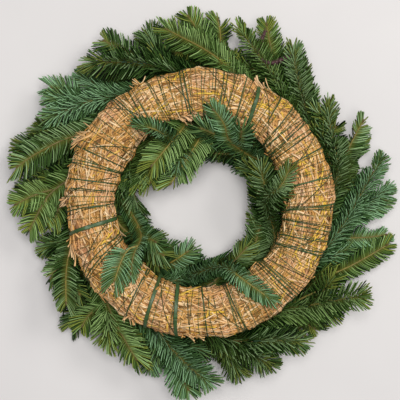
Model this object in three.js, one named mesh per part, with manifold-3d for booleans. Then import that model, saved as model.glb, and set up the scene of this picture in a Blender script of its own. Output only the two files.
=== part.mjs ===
// A fresh fir wreath on a straw base ring, lying face down on a table.
// Millimetres and degrees, +Z up. The straw back of the wreath faces up, its fir front faces the table.
// Angles run counter-clockwise as seen from above, and all sprigs point that way.
import * as THREE from "three";
import { mergeVertices } from "three/addons/utils/BufferGeometryUtils.js";
import Module from "manifold-3d";

const wasm = await Module();
wasm.setup();

// Straw base ring
const RING_OUTER_DIAMETER = 300;
const STRAW_WIDTH = 55;
const STRAW_HEIGHT = 50;
const RING_SIDES = 12;
const RING_STATIONS = 40;
const RING_LUMP = 0.7;
const FRONT_DEPTH = 40; // fir between the table and the straw
const RING_RADIUS = (RING_OUTER_DIAMETER - STRAW_WIDTH) / 2;
const RING_Z = FRONT_DEPTH + STRAW_HEIGHT / 2;
const SIDE_ANGLE = 360 / RING_SIDES;
const BACK_SIDES = [2, 3]; // the corners beside the flat back

// Windings, in layers that can cross each other
const GAP = 0.3;
const THREAD_RADIUS = 0.4;
const THREAD_TIES = [-4, 2]; // degrees from every third row of butts to its turns of thread; the rest have the second alone
const THREAD_WANDER = 1;
const TWINE_RADIUS = 0.7;
const BAND_WIDTH = 4.2;
const BAND_THICKNESS = 0.7;
const THREAD_LIFT = GAP + THREAD_RADIUS;
const TWINE_LIFT = THREAD_LIFT + THREAD_RADIUS + GAP + TWINE_RADIUS;
const BAND_LIFT = TWINE_LIFT + TWINE_RADIUS + GAP + BAND_THICKNESS / 2;

// Sprigs: a bare butt tied to the straw, then a shoot with needles
const BUTT_RADIUS = 2.2;
const BUTT_BEFORE = 6; // degrees of butt before its tie
const BUTT_AFTER = 7;
const BUTT_LIFT = GAP + BUTT_RADIUS;
const OVER_BUTT = 2 * BUTT_RADIUS + GAP + 2; // how much higher a winding runs over a butt
const TIP_RADIUS = 1.2;
const TWIG_RADIUS = 1.4;
const BARE_STEP = 11;
const NEEDLE_STEP = 7.6; // three needles stand on each step
const FRONT_NEEDLE_STEP = 8.2;
const NEEDLE_LENGTH = 23;
const TIP_NEEDLE_LENGTH = 16;
const ROOT_REACH = 2.8; // half the room that a needle takes up near its root, then towards its tip
const NEEDLE_REACH = 1.2;
const NEEDLE_LEAN = 58; // from the twig's axis
const HOLE_RADIUS = 50; // needles stay out of the middle
const LOWEST_NEEDLE = 2.2; // above the table
const HIGHEST_NEEDLE = 107;
const SWEEP = 33; // degrees from a butt's tie round to its main tip
const FIRST_TIE = -40;
const RESTING = [1, 6, 11]; // the front sprigs that bear on the table

// Each outer sprig has three tips, in order round the ring: side, main and upper. Angle, then reach.
const OUTER_TIPS = [
  [[-10, 222], [4, 219], [13, 218]],
  [[20, 203], [26, 210], [36, 186]],
  [[44, 184], [53, 197], [58, 206]],
  [[63, 203], [69, 221], [76, 204]],
  [[84, 216], [93, 218], [100, 206]],
  [[107, 212], [120, 217], [126, 203]],
  [[133, 203], [144, 210], [149, 200]],
  [[155, 206], [163, 220], [168, 213]],
  [[175, 209], [180, 212], [188, 200]],
  [[196, 192], [206, 193], [216, 192]],
  [[226, 199], [236, 195], [247, 196]],
  [[253, 203], [266, 215], [272, 205]],
  [[283, 207], [293, 205], [305, 199]],
  [[312, 200], [321, 205], [330, 216]],
];
// The ties, nearly even, drawn a little towards the tips
const STATIONS = OUTER_TIPS.map(([, main], i) =>
  THREE.MathUtils.lerp(FIRST_TIE + (i * 360) / OUTER_TIPS.length, main[0] - SWEEP, 0.4),
);
// Inner sprigs with a second shoot that lies over the straw: sprig number, then that tip's angle and reach
const OVER_STRAW = new Map([
  [0, [19, 108]],
  [2, [80, 107]],
  [4, [127, 112]],
  [8, [225, 112]],
  [11, [306, 134]],
]);
// Turns of twine over the back: angle at the ring's outside, then at its inside
const TWINE_TURNS = [
  [25, 22],
  [39, 36],
  [45, 41],
  [53, 48],
  [78, 76],
  [98, 95],
  [109, 109],
  [121, 121],
  [131, 126],
  [155, 155],
  [163, 159],
  [170, 167],
  [174, 172],
  [183, 178],
  [217, 203],
  [238, 231],
  [274, 271],
  [290, 285],
  [316, 315],
  [338, 331],
  [344, 338],
  [349, 349],
  [359, 354],
];
const BAND_TURNS = [
  [65, 56],
  [194, 190],
  [247, 241],
  [261, 254],
];
// Where a turn can cross the front, in degrees from a tie: over its butts, or past their shoots
const OVER_BUTTS = [-4, 3];
const PAST_SHOOTS = 15.5;
const TURN_SPACING = 1.3;

const rad = THREE.MathUtils.degToRad;
const lerp = THREE.MathUtils.lerp;

// A small seeded generator, so that the wreath is the same each time.
function seeded(seed) {
  let state = seed;
  return () => {
    state = (state * 1664525 + 1013904223) % 4294967296;
    return state / 4294967296;
  };
}

function polar(radius, angle, z) {
  return new THREE.Vector3(radius * Math.cos(rad(angle)), radius * Math.sin(rad(angle)), z);
}

// The direction out of the straw at an angle round the ring and an angle round its section.
function outward(angle, sectionAngle) {
  const flat = Math.cos(rad(sectionAngle));
  return polar(flat, angle, Math.sin(rad(sectionAngle)));
}

function sideAngle(side) {
  return (side + 0.5) * SIDE_ANGLE;
}

// Straw ring: a corner of its section at one station
function ringCorner(station, side) {
  const i = ((station % RING_STATIONS) + RING_STATIONS) % RING_STATIONS;
  const toCorner = 1 / Math.cos(rad(SIDE_ANGLE / 2));
  const phi = sideAngle(side);
  const wave = Math.sin(i * 1.7) * Math.sin(i * 0.61 + 2.3);
  const lump = BACK_SIDES.includes(side) ? 0 : RING_LUMP * wave;
  const out = (STRAW_WIDTH / 2) * toCorner + lump;
  const up = (STRAW_HEIGHT / 2) * toCorner + lump;
  return polar(
    RING_RADIUS + out * Math.cos(rad(phi)),
    (i * 360) / RING_STATIONS,
    RING_Z + up * Math.sin(rad(phi)),
  );
}

// A point on the ring's long edge at any angle, raised off the straw by lift.
function onEdge(angle, side, lift) {
  const place = (angle / 360) * RING_STATIONS;
  const station = Math.floor(place);
  return ringCorner(station, side)
    .lerp(ringCorner(station + 1, side), place - station)
    .addScaledVector(outward(angle, sideAngle(side)), lift);
}

// The closed mesh through a row of sections, capped at both ends or joined in a loop.
function sweep(sections, isLoop = false) {
  const size = sections[0].length;
  const faces = [];
  const spans = isLoop ? sections.length : sections.length - 1;
  for (let i = 0; i < spans; i++)
    for (let k = 0; k < size; k++) {
      const a = i * size + k;
      const b = i * size + ((k + 1) % size);
      const next = ((i + 1) % sections.length) * size;
      const c = next + ((k + 1) % size);
      const d = next + k;
      faces.push([a, b, c], [a, c, d]);
    }
  if (!isLoop)
    for (let k = 1; k < size - 1; k++) {
      const last = (sections.length - 1) * size;
      faces.push([0, k + 1, k], [last, last + k, last + k + 1]);
    }
  return { points: sections.flat(), faces };
}

function volumeOf({ points, faces }) {
  const cross = new THREE.Vector3();
  return faces.reduce(
    (sum, [a, b, c]) => sum + cross.crossVectors(points[b], points[c]).dot(points[a]) / 6,
    0,
  );
}

// three.js geometry of a mesh of points and faces, turned so that its faces point out.
function geometryOf(mesh) {
  const isInsideOut = volumeOf(mesh) < 0;
  const order = mesh.faces.map(([a, b, c]) => (isInsideOut ? [a, c, b] : [a, b, c]));
  return new THREE.BufferGeometry()
    .setAttribute(
      "position",
      new THREE.Float32BufferAttribute(mesh.points.flatMap((p) => [p.x, p.y, p.z]), 3),
    )
    .setIndex(order.flat());
}

function solidOf(geometry) {
  const bare = geometry.clone();
  bare.deleteAttribute("normal");
  bare.deleteAttribute("uv");
  const merged = mergeVertices(bare, 1e-4);
  return new wasm.Manifold(
    new wasm.Mesh({
      numProp: 3,
      vertProperties: merged.attributes.position.array,
      triVerts: new Uint32Array(merged.index.array),
    }),
  );
}

function geometryOfSolid(solid) {
  const { vertProperties, triVerts } = solid.getMesh();
  return new THREE.BufferGeometry()
    .setAttribute("position", new THREE.BufferAttribute(vertProperties, 3))
    .setIndex(new THREE.BufferAttribute(triVerts, 1));
}

function strawRing() {
  const sections = [];
  for (let i = 0; i < RING_STATIONS; i++)
    sections.push(Array.from({ length: RING_SIDES }, (_, side) => ringCorner(i, side)));
  return geometryOf(sweep(sections, true));
}

// Where the butts lie: ring corners that each row of butts touches
const ROWS = {
  outer: { sides: [10], phi: 315 },
  front: { sides: [8, 9], phi: 270 },
  inner: { sides: [7], phi: 225 },
};
const BUTT_SIDES = new Set(Object.values(ROWS).flatMap((row) => row.sides));

function isOverButt(angle, side) {
  const margin = 1.6;
  return (
    BUTT_SIDES.has(side) &&
    STATIONS.some((station) => {
      const from = ((angle - station + 540) % 360) - 180;
      return from > -BUTT_BEFORE - margin && from < BUTT_AFTER + margin;
    })
  );
}

function windingPoint(angle, side, lift) {
  return onEdge(angle, side, lift + (isOverButt(angle, side) ? OVER_BUTT : 0));
}

// A winding's path: an angle round the ring for each corner that it passes
function windingSection(angle, side, lift, halfWidth, halfHeight) {
  const centre = windingPoint(angle, side, lift);
  const out = outward(angle, sideAngle(side));
  const along = polar(1, angle + 90, 0);
  const corner = (w, h) => centre.clone().addScaledVector(along, w).addScaledVector(out, h);
  return halfHeight === undefined
    ? [corner(0, halfWidth), corner(0.87 * halfWidth, -halfWidth / 2), corner(-0.87 * halfWidth, -halfWidth / 2)]
    : [corner(halfWidth, halfHeight), corner(halfWidth, -halfHeight), corner(-halfWidth, -halfHeight), corner(-halfWidth, halfHeight)];
}

// The steps of a helix round the straw, given the angle of each turn.
function helixSteps(turnAngles, wander, random) {
  const steps = [];
  for (let turn = 0; turn < turnAngles.length - 1; turn++) {
    const drift = wander * (random() - 0.5);
    for (let i = 0; i < RING_SIDES; i++) {
      // each turn runs square across the front and slants over the back
      const share = THREE.MathUtils.smoothstep(i / RING_SIDES, 0.34, 0.92);
      const side = (BACK_SIDES[0] - 4 - i + 2 * RING_SIDES) % RING_SIDES;
      const slack = drift * Math.sin((Math.PI * i) / RING_SIDES);
      steps.push({ angle: lerp(turnAngles[turn], turnAngles[turn + 1], share) + slack, side });
    }
  }
  return steps;
}

function threadSteps() {
  const turns = STATIONS.flatMap((tie, i) => THREAD_TIES.slice(i % 3 ? 1 : 0).map((offset) => tie + offset));
  return helixSteps(turns, THREAD_WANDER, seeded(11));
}

const FREE_SPANS = [...STATIONS, ...STATIONS.map((tie) => tie + 360)].flatMap((tie, i, ties) => {
  const next = ties[i + 1] ?? Infinity;
  const overButts = [tie + OVER_BUTTS[0], tie + OVER_BUTTS[1]];
  const between = [tie + PAST_SHOOTS, next - BUTT_BEFORE - 2.6];
  return between[0] < between[1] ? [overButts, between] : [overButts];
});

// The free angle nearest to the one wanted, and no less than the least
function freeAngle(wanted, least) {
  const angles = FREE_SPANS.filter(([, high]) => high >= least).map(([low, high]) =>
    THREE.MathUtils.clamp(wanted, Math.max(low, least), high),
  );
  return angles.reduce((a, b) => (Math.abs(b - wanted) < Math.abs(a - wanted) ? b : a));
}

// One turn: over the back from the outside to the inside, then across the front.
function turnSteps([outer, inner], nextOuter, across) {
  return Array.from({ length: RING_SIDES }, (_, side) => {
    if (side < 6) return { side, angle: lerp(outer, inner, sideAngle(side) / 180) };
    if (side === 6) return { side, angle: (inner + across) / 2 };
    return { side, angle: side === RING_SIDES - 1 ? (across + nextOuter) / 2 : across };
  });
}

function twineSteps() {
  let last = -Infinity;
  return TWINE_TURNS.flatMap((turn, i) => {
    const next = i + 1 < TWINE_TURNS.length ? TWINE_TURNS[i + 1][0] : TWINE_TURNS[0][0] + 360;
    last = freeAngle((turn[1] + next) / 2, last + TURN_SPACING);
    return turnSteps(turn, next, last);
  });
}

// A band crosses the front at the tie nearest to it.
function bandSteps(turn) {
  const tie = STATIONS.reduce((a, b) => (Math.abs(b - turn[0]) < Math.abs(a - turn[0]) ? b : a));
  return turnSteps(turn, turn[0], tie);
}

// What sprigs keep clear of: straight capsules, each with the name of its owner
const obstacles = [];

function addObstacle(a, b, radius, owner) {
  const middle = a.clone().lerp(b, 0.5);
  obstacles.push({ a, b, radius, owner, middle, reach: a.distanceTo(b) / 2 + radius });
}

function segmentDistance(p1, q1, p2, q2) {
  const d1 = q1.clone().sub(p1);
  const d2 = q2.clone().sub(p2);
  const r = p1.clone().sub(p2);
  const a = d1.lengthSq();
  const e = d2.lengthSq();
  const f = d2.dot(r);
  const b = d1.dot(d2);
  const c = d1.dot(r);
  const spread = a * e - b * b;
  let s = spread > 1e-9 ? THREE.MathUtils.clamp((b * f - c * e) / spread, 0, 1) : 0;
  const t = THREE.MathUtils.clamp((b * s + f) / e, 0, 1);
  s = THREE.MathUtils.clamp((b * t - c) / a, 0, 1);
  return p1.clone().addScaledVector(d1, s).distanceTo(p2.clone().addScaledVector(d2, t));
}

function firstHit(a, b, radius, isMine) {
  const middle = a.clone().lerp(b, 0.5);
  const reach = a.distanceTo(b) / 2 + radius + GAP;
  return obstacles.find(
    (o) =>
      !isMine(o) &&
      middle.distanceTo(o.middle) < reach + o.reach &&
      segmentDistance(a, b, o.a, o.b) < radius + o.radius + GAP,
  );
}

// How far a point lies outside the straw, roughly.
function heightOverStraw(point) {
  const out = Math.hypot(point.x, point.y) - RING_RADIUS;
  const up = point.z - RING_Z;
  const scale = Math.hypot(out / (STRAW_WIDTH / 2), up / (STRAW_HEIGHT / 2));
  return (scale - 1) * (STRAW_HEIGHT / 2);
}

// Shoots: centre line, radii and frames of a twig
function shoot(owner, path, bareLength, radii, needleStep = NEEDLE_STEP) {
  const curve = new THREE.CatmullRomCurve3(path, false, "centripetal");
  const length = curve.getLength();
  const bareSteps = Math.round(bareLength / BARE_STEP);
  const needleSteps = Math.max(3, Math.round((length - bareLength) / needleStep));
  const shares = [];
  for (let i = 0; i < bareSteps; i++) shares.push(((i / bareSteps) * bareLength) / length);
  for (let i = 0; i <= needleSteps; i++)
    shares.push(lerp(bareLength / length, 1, i / needleSteps));
  const rings = shares.map((share) => {
    const centre = curve.getPointAt(Math.min(share, 1));
    const along = curve.getTangentAt(Math.min(share, 1));
    const up = new THREE.Vector3(0, 0, 1).addScaledVector(along, -along.z).normalize();
    return { centre, along, up, aside: along.clone().cross(up), radius: lerp(radii[0], radii[1], share) };
  });
  const end = rings[rings.length - 1];
  const apex = end.centre.clone().addScaledVector(end.along, TIP_NEEDLE_LENGTH / 2);
  const joints = [...rings.map((ring) => ring.centre), apex];
  return { owner, rings, bareSteps, joints, apex };
}

function blocker({ rings, joints }) {
  for (let i = 1; i < joints.length; i++) {
    const hit = firstHit(joints[i - 1], joints[i], rings[i - 1].radius + 0.4, () => false);
    if (hit) return `${hit.owner} near ring ${i} of ${rings.length}`;
  }
  return null;
}

// The first of many shapes of a sprig whose shoots touch no winding and no other sprig
function placed(shape, name, seed) {
  const random = seeded(seed);
  const blockers = new Set();
  for (let attempt = 0; attempt < 300; attempt++) {
    const sprig = shape(name, random);
    const inTheWay = sprig.shoots.map(blocker).find(Boolean);
    blockers.add(inTheWay);
    if (inTheWay) continue;
    for (const { rings, joints } of sprig.shoots)
      for (let i = 1; i < joints.length; i++)
        addObstacle(joints[i - 1], joints[i], rings[i - 1].radius, name);
    return { name, random, ...sprig };
  }
  throw new Error(`${name} finds no free place beside ${[...blockers].join(", ")}`);
}

// Needle directions to try: lean from the axis, turn about it and share of the full length
const NEEDLE_TRIES = [
  [0, 0, 1], [0, 18, 1], [0, -18, 1], [-14, 0, 1], [-14, 24, 1], [-14, -24, 1], [14, 0, 1],
  [0, 34, 0.9], [0, -34, 0.9], [-22, 0, 0.9], [-24, 30, 0.9], [-24, -30, 0.9], [0, 0, 0.7], [-22, 0, 0.6],
  [-22, 30, 0.6], [-22, -30, 0.6],
];

function needleTip(ring, root, angle, length, owner, random) {
  const lean = NEEDLE_LEAN + 8 * (random() - 0.5);
  const turn = angle + 16 * (random() - 0.5);
  const full = length * (0.92 + 0.16 * random());
  for (const [leanMore, turnMore, share] of NEEDLE_TRIES) {
    const side = ring.up
      .clone()
      .multiplyScalar(Math.cos(rad(turn + turnMore)))
      .addScaledVector(ring.aside, Math.sin(rad(turn + turnMore)));
    const direction = ring.along
      .clone()
      .multiplyScalar(Math.cos(rad(lean + leanMore)))
      .addScaledVector(side, Math.sin(rad(lean + leanMore)));
    const tip = root.clone().addScaledVector(direction, full * share);
    const knee = root.clone().lerp(tip, 0.35);
    const start = root.clone().lerp(tip, 0.12);
    const isInHole = Math.hypot(tip.x, tip.y) < HOLE_RADIUS;
    if (isInHole || tip.z < LOWEST_NEEDLE || tip.z > HIGHEST_NEEDLE) continue;
    if (heightOverStraw(tip) < 3.5 || heightOverStraw(knee) < 1.5) continue;
    if (firstHit(start, knee, ROOT_REACH, (o) => o.owner.startsWith(owner))) continue;
    if (firstHit(knee, tip, NEEDLE_REACH, (o) => o.owner.startsWith(owner) && !o.owner.endsWith("needle"))) continue;
    addObstacle(start, knee, ROOT_REACH, owner + " root");
    addObstacle(knee, tip, NEEDLE_REACH, owner + " needle");
    return tip;
  }
  return null;
}

// The shoot as one closed mesh. Its rings have three corners, each ring turned by 60 degrees against the last,
// and a needle is raised from each triangle that points to the tip.
function shootMesh({ owner, rings, bareSteps, apex }, random, needlesFrom = 0) {
  const points = [];
  const faces = [];
  const cornerAngle = (i, m) => (i % 2) * 60 + m * 120;
  rings.forEach((ring, i) => {
    for (let m = 0; m < 3; m++)
      points.push(
        ring.centre
          .clone()
          .addScaledVector(ring.up, ring.radius * Math.cos(rad(cornerAngle(i, m))))
          .addScaledVector(ring.aside, -ring.radius * Math.sin(rad(cornerAngle(i, m)))),
      );
  });
  const spans = rings.length - 1;
  for (let i = 0; i < spans; i++)
    for (let m = 0; m < 3; m++) {
      const ahead = i % 2 === 0 ? m : (m + 1) % 3;
      const a = i * 3 + m;
      const b = i * 3 + ((m + 1) % 3);
      const c = (i + 1) * 3 + ahead;
      faces.push([a, c, (i + 1) * 3 + ((ahead + 2) % 3)]);
      const root = points[a].clone().add(points[b]).add(points[c]).divideScalar(3);
      const share = i / spans;
      const length = lerp(NEEDLE_LENGTH, TIP_NEEDLE_LENGTH, share * share);
      const turn = -(cornerAngle(i, m) + 60);
      const tip =
        i >= bareSteps + needlesFrom ? needleTip(rings[i], root, turn, length, owner, random) : null;
      if (tip) {
        points.push(tip);
        const end = points.length - 1;
        faces.push([a, b, end], [b, c, end], [c, a, end]);
      } else faces.push([a, b, c]);
    }
  points.push(apex);
  for (let m = 0; m < 3; m++) faces.push([spans * 3 + m, spans * 3 + ((m + 1) % 3), points.length - 1]);
  faces.push([0, 2, 1]);
  return { points, faces };
}

// The bare butt of a sprig, along the straw under the twine.
function buttPath(row, station) {
  const { sides, phi } = ROWS[row];
  return [-BUTT_BEFORE, -2, 3, BUTT_AFTER].map((offset) => {
    const angle = station + offset;
    const edges = sides.map((side) => onEdge(angle, side, 0));
    const seat = edges[0].clone().lerp(edges[edges.length - 1], 0.5);
    return seat.addScaledVector(outward(angle, phi), BUTT_LIFT);
  });
}

// Points of a shoot between its root and its tip: it runs on along the ring, then turns out to the tip.
function reachTo(from, leave, tip, arrive) {
  const curve = new THREE.CubicBezierCurve3(from, from.clone().add(leave), tip.clone().sub(arrive), tip);
  return [0.2, 0.4, 0.6, 0.8, 1].map((t) => curve.getPoint(t));
}

function pointOn(shootPart, share) {
  return shootPart.rings[Math.round(share * (shootPart.rings.length - 1))];
}

function between(random, low, high) {
  return lerp(low, high, random());
}

const outerSprig = (i) => (name, random) => {
  const station = STATIONS[i];
  const [[sideAt, sideReach], [mainAt, mainReach], [upperAt, upperReach]] = OUTER_TIPS[i];
  const butt = buttPath("outer", station);
  const leaveAngle = station + BUTT_AFTER;
  const leave = polar(26, leaveAngle + 90 - between(random, 14, 22), between(random, -5, 0));
  const mainTip = polar(mainReach - 6, mainAt, between(random, 34, 56));
  const mainArrive = polar(30, mainAt + between(random, 26, 38), 6);
  const main = shoot(
    name,
    [...butt, ...reachTo(butt[3], leave, mainTip, mainArrive)],
    38,
    [BUTT_RADIUS, TIP_RADIUS],
  );
  const fork = pointOn(main, between(random, 0.36, 0.44));
  const sideTip = polar(sideReach - 6, sideAt, between(random, 18, 30));
  const sideLeave = fork.along.clone().multiplyScalar(14).add(polar(10, leaveAngle, -4));
  const sideArrive = polar(22, sideAt + between(random, 18, 32), 2);
  const side = shoot(
    name,
    [fork.centre.clone(), ...reachTo(fork.centre, sideLeave, sideTip, sideArrive)],
    0,
    [TWIG_RADIUS, TIP_RADIUS],
  );
  const upperFork = pointOn(main, between(random, 0.5, 0.6));
  const upperTip = polar(upperReach - 6, upperAt, between(random, 30, 64));
  const upperArrive = polar(18, upperAt + between(random, 35, 60), 0);
  const upperLeave = upperFork.along.clone().multiplyScalar(12).add(polar(6, upperAt + 90, 3));
  const upper = shoot(
    name,
    [upperFork.centre.clone(), ...reachTo(upperFork.centre, upperLeave, upperTip, upperArrive)],
    0,
    [TWIG_RADIUS, TIP_RADIUS],
  );
  return { shoots: [main, side, upper] };
};

const innerSprig = (i) => (name, random) => {
  const station = STATIONS[i];
  const butt = buttPath("inner", station);
  const leaveAngle = station + BUTT_AFTER;
  const tipAngle = station + between(random, 44, 56);
  const leave = polar(18, leaveAngle + 90 + between(random, 26, 40), between(random, -6, 0));
  const tip = polar(between(random, 68, 79), tipAngle, between(random, 30, 66));
  const main = shoot(
    name,
    [...butt, ...reachTo(butt[3], leave, tip, polar(18, tipAngle + 96, 3))],
    27,
    [BUTT_RADIUS, TIP_RADIUS],
  );
  const shoots = [main];
  if (OVER_STRAW.has(i)) {
    const [angle, reach] = OVER_STRAW.get(i);
    const fork = pointOn(main, 0.45);
    const climb = polar(between(random, 74, 79), angle - 14, RING_Z + 14);
    const crest = polar(91, angle - 8, RING_Z + 30);
    const over = polar(reach - 6, angle, RING_Z + 33);
    shoots.push(shoot(name, [fork.centre.clone(), climb, crest, over], 0, [TWIG_RADIUS, TIP_RADIUS]));
  }
  return { shoots };
};

const frontSprig = (i) => (name, random) => {
  const station = STATIONS[i];
  const isResting = RESTING.includes(i);
  const butt = buttPath("front", station);
  const leaveAngle = station + BUTT_AFTER;
  const leave = polar(26, leaveAngle + 90, between(random, -10, -7));
  const tipAngle = station + between(random, 40, 48);
  const tip = polar(between(random, 100, 132), tipAngle, isResting ? 0.6 : between(random, 11, 24));
  const arrive = polar(isResting ? 34 : 24, tipAngle + 92, isResting ? 0 : -2);
  const main = shoot(
    name,
    [...butt, ...reachTo(butt[3], leave, tip, arrive)],
    34,
    [BUTT_RADIUS, TIP_RADIUS],
    FRONT_NEEDLE_STEP,
  );
  const fork = pointOn(main, between(random, 0.36, 0.46));
  const sideAt = station + between(random, 32, 44);
  const sideTip = polar(between(random, 172, 184), sideAt, between(random, 9, 26));
  const sideLeave = fork.along.clone().multiplyScalar(16);
  const sideArrive = polar(18, sideAt + between(random, 25, 45), -1);
  const side = shoot(
    name,
    [fork.centre.clone(), ...reachTo(fork.centre, sideLeave, sideTip, sideArrive)],
    0,
    [TWIG_RADIUS, TIP_RADIUS],
    FRONT_NEEDLE_STEP,
  );
  return { shoots: [main, side], isResting };
};

// A sprig's shoots fused in one body. One that bears on the table is flat where it touches.
function sprigGeometry({ shoots, random, isResting }) {
  let solid = shoots
    .map((part, i) => solidOf(geometryOf(shootMesh(part, random, i ? 2 : 0))))
    .reduce((a, b) => a.add(b));
  if (isResting) {
    const table = new THREE.BoxGeometry(600, 600, 20).translate(0, 0, -10);
    solid = solid.subtract(solidOf(table));
  }
  return geometryOfSolid(solid);
}

const straw = new THREE.MeshStandardMaterial({ color: 0xb98a4e, roughness: 0.85, metalness: 0 });
const thread = new THREE.MeshStandardMaterial({ color: 0x5b5a32, roughness: 0.5, metalness: 0 });
const twine = new THREE.MeshStandardMaterial({ color: 0x1f4a2c, roughness: 0.45, metalness: 0 });
const band = new THREE.MeshStandardMaterial({ color: 0x27563a, roughness: 0.4, metalness: 0 });
const fir = new THREE.MeshStandardMaterial({ color: 0x2c5a2c, roughness: 0.6, metalness: 0 });

const wreath = new THREE.Group();

function addPiece(name, geometry, material) {
  const piece = new THREE.Mesh(geometry, material);
  piece.name = name;
  wreath.add(piece);
}

function addWinding(name, steps, lift, halfWidth, halfHeight, material, isLoop) {
  const sections = steps.map(({ angle, side }) => windingSection(angle, side, lift, halfWidth, halfHeight));
  const centres = steps.map(({ angle, side }) => windingPoint(angle, side, lift));
  centres.forEach((centre, i) => {
    const next = centres[(i + 1) % centres.length];
    if (isLoop || i + 1 < centres.length) addObstacle(centre, next, halfWidth, name);
  });
  addPiece(name, geometryOf(sweep(sections, isLoop)), material);
}

addPiece("straw_ring", strawRing(), straw);
addWinding("straw_thread", threadSteps(), THREAD_LIFT, THREAD_RADIUS, undefined, thread, false);
addWinding("binding_twine", twineSteps(), TWINE_LIFT, TWINE_RADIUS, undefined, twine, false);
BAND_TURNS.forEach((turn, i) =>
  addWinding(
    `twine_band_${i + 1}`,
    bandSteps(turn),
    BAND_LIFT,
    BAND_WIDTH / 2,
    BAND_THICKNESS / 2,
    band,
    true,
  ),
);

const ROW_SHAPES = { outer: outerSprig, inner: innerSprig, front: frontSprig };
const sprigs = Object.entries(ROW_SHAPES).flatMap(([row, shape], k) =>
  STATIONS.map((_, i) =>
    placed(shape(i), `${row}_sprig_${String(i + 1).padStart(2, "0")}`, 100 * (k + 1) + i),
  ),
);
sprigs.forEach((sprig) => addPiece(sprig.name, sprigGeometry(sprig), fir));

// The origin is on the table, under the middle of the wreath.
const box = new THREE.Box3().setFromObject(wreath);
const middle = box.getCenter(new THREE.Vector3());
wreath.position.set(-middle.x, -middle.y, 0);

export default wreath;
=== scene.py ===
# %% [markdown]
# # A fresh fir wreath, lying face down
#
# The wreath is fir sprigs tied round a straw ring. It lies with its fir front down, so the camera sees
# the straw back, the windings that hold the sprigs, and the fir that stands out all round. The packed
# model gives the main places: the ring, each sprig's twigs and each winding are read from it, and this
# lesson grows the fine needles, bark, stalks and threads on them.

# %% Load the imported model
import heapq
import math

import bpy
import numpy as np
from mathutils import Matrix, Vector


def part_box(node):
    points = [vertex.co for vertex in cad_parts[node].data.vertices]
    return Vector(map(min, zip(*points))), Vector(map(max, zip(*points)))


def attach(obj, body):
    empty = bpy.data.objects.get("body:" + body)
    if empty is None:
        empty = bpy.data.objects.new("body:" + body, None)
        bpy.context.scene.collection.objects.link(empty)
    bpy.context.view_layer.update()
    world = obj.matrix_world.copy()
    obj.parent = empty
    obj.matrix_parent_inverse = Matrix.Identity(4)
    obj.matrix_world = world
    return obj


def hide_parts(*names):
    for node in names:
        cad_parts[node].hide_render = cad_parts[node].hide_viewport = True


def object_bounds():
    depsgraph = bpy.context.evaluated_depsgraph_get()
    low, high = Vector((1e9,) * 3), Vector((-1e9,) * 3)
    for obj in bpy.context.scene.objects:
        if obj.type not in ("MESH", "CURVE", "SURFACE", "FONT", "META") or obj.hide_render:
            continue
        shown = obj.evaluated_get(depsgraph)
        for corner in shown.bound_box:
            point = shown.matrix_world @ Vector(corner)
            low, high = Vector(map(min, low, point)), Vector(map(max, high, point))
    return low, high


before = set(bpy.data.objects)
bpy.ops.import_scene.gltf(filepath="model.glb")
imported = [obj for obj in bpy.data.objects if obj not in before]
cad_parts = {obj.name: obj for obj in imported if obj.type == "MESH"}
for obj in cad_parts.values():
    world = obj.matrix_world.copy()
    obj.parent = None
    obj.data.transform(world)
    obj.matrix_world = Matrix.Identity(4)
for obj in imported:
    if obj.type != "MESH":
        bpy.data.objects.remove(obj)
cad_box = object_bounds()
print("nodes in the packed model:", len(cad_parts))

# %% [markdown]
# ## Sizes
#
# The ring is the one thing here with a made size, so it comes first. All geometry is worked out in
# millimetres and turned into metres only when a mesh is made. A point near the straw is handiest as
# three numbers: its angle round the ring, its angle round the straw's section, and how far it lies
# above the straw. The section is a rounded oval with a flattened back.

# %% The ring's measures
MM = 0.001
STRAW_WIDTH = 55.0
STRAW_HEIGHT = 50.0
SECTION_POWER = 2.5
# Lumps of the straw: height in mm, waves round the ring, waves round the section, and their start
LUMPS = [(1.0, 5, 0, 0.8), (0.7, 9, 1, 0.0), (0.7, 17, -1, 0.0), (0.6, 31, 2, 0.0), (0.4, 53, -2, 0.0)]
ring_low, ring_high = (np.array(corner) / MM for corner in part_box("straw_ring"))
RING_X, RING_Y = (ring_low[:2] + ring_high[:2]) / 2
RING_TOP = ring_high[2]
RING_Z = RING_TOP - STRAW_HEIGHT / 2
RING_RADIUS = (ring_high[0] - ring_low[0]) / 2 - STRAW_WIDTH / 2
print("ring centre", round(RING_X, 1), round(RING_Y, 1), "radius", round(RING_RADIUS, 1), "top", RING_TOP)


# %% From straw places to points and back
def unit(vectors):
    return vectors / np.maximum(np.linalg.norm(vectors, axis=-1, keepdims=True), 1e-9)


def section_radius(turn):
    wide = np.abs(np.cos(turn) / (STRAW_WIDTH / 2)) ** SECTION_POWER
    high = np.abs(np.sin(turn) / (STRAW_HEIGHT / 2)) ** SECTION_POWER
    return (wide + high) ** (-1 / SECTION_POWER)


def swell(angle, turn):
    """How far the straw's lumps stand out, in mm."""
    return sum(high * np.sin(ring * angle + section * turn + start) for high, ring, section, start in LUMPS)


def straw_point(angle, turn, lift):
    reach = section_radius(turn) + swell(angle, turn) + lift
    radius = RING_RADIUS + reach * np.cos(turn)
    x = RING_X + radius * np.cos(angle)
    y = RING_Y + radius * np.sin(angle)
    return np.stack([x, y, RING_Z + reach * np.sin(turn)], axis=-1)


def round_middle(points):
    """Angle round the ring's middle, and distance from its axis."""
    x = points[..., 0] - RING_X
    y = points[..., 1] - RING_Y
    return np.arctan2(y, x), np.hypot(x, y)


def straw_place(points):
    angle, reach = round_middle(points)
    out = reach - RING_RADIUS
    up = points[..., 2] - RING_Z
    turn = np.arctan2(up, out)
    return angle, turn, np.hypot(out, up) - section_radius(turn) - swell(angle, turn)


print("straw half width", round(float(section_radius(np.array(0.0))), 1), "mm")

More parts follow.
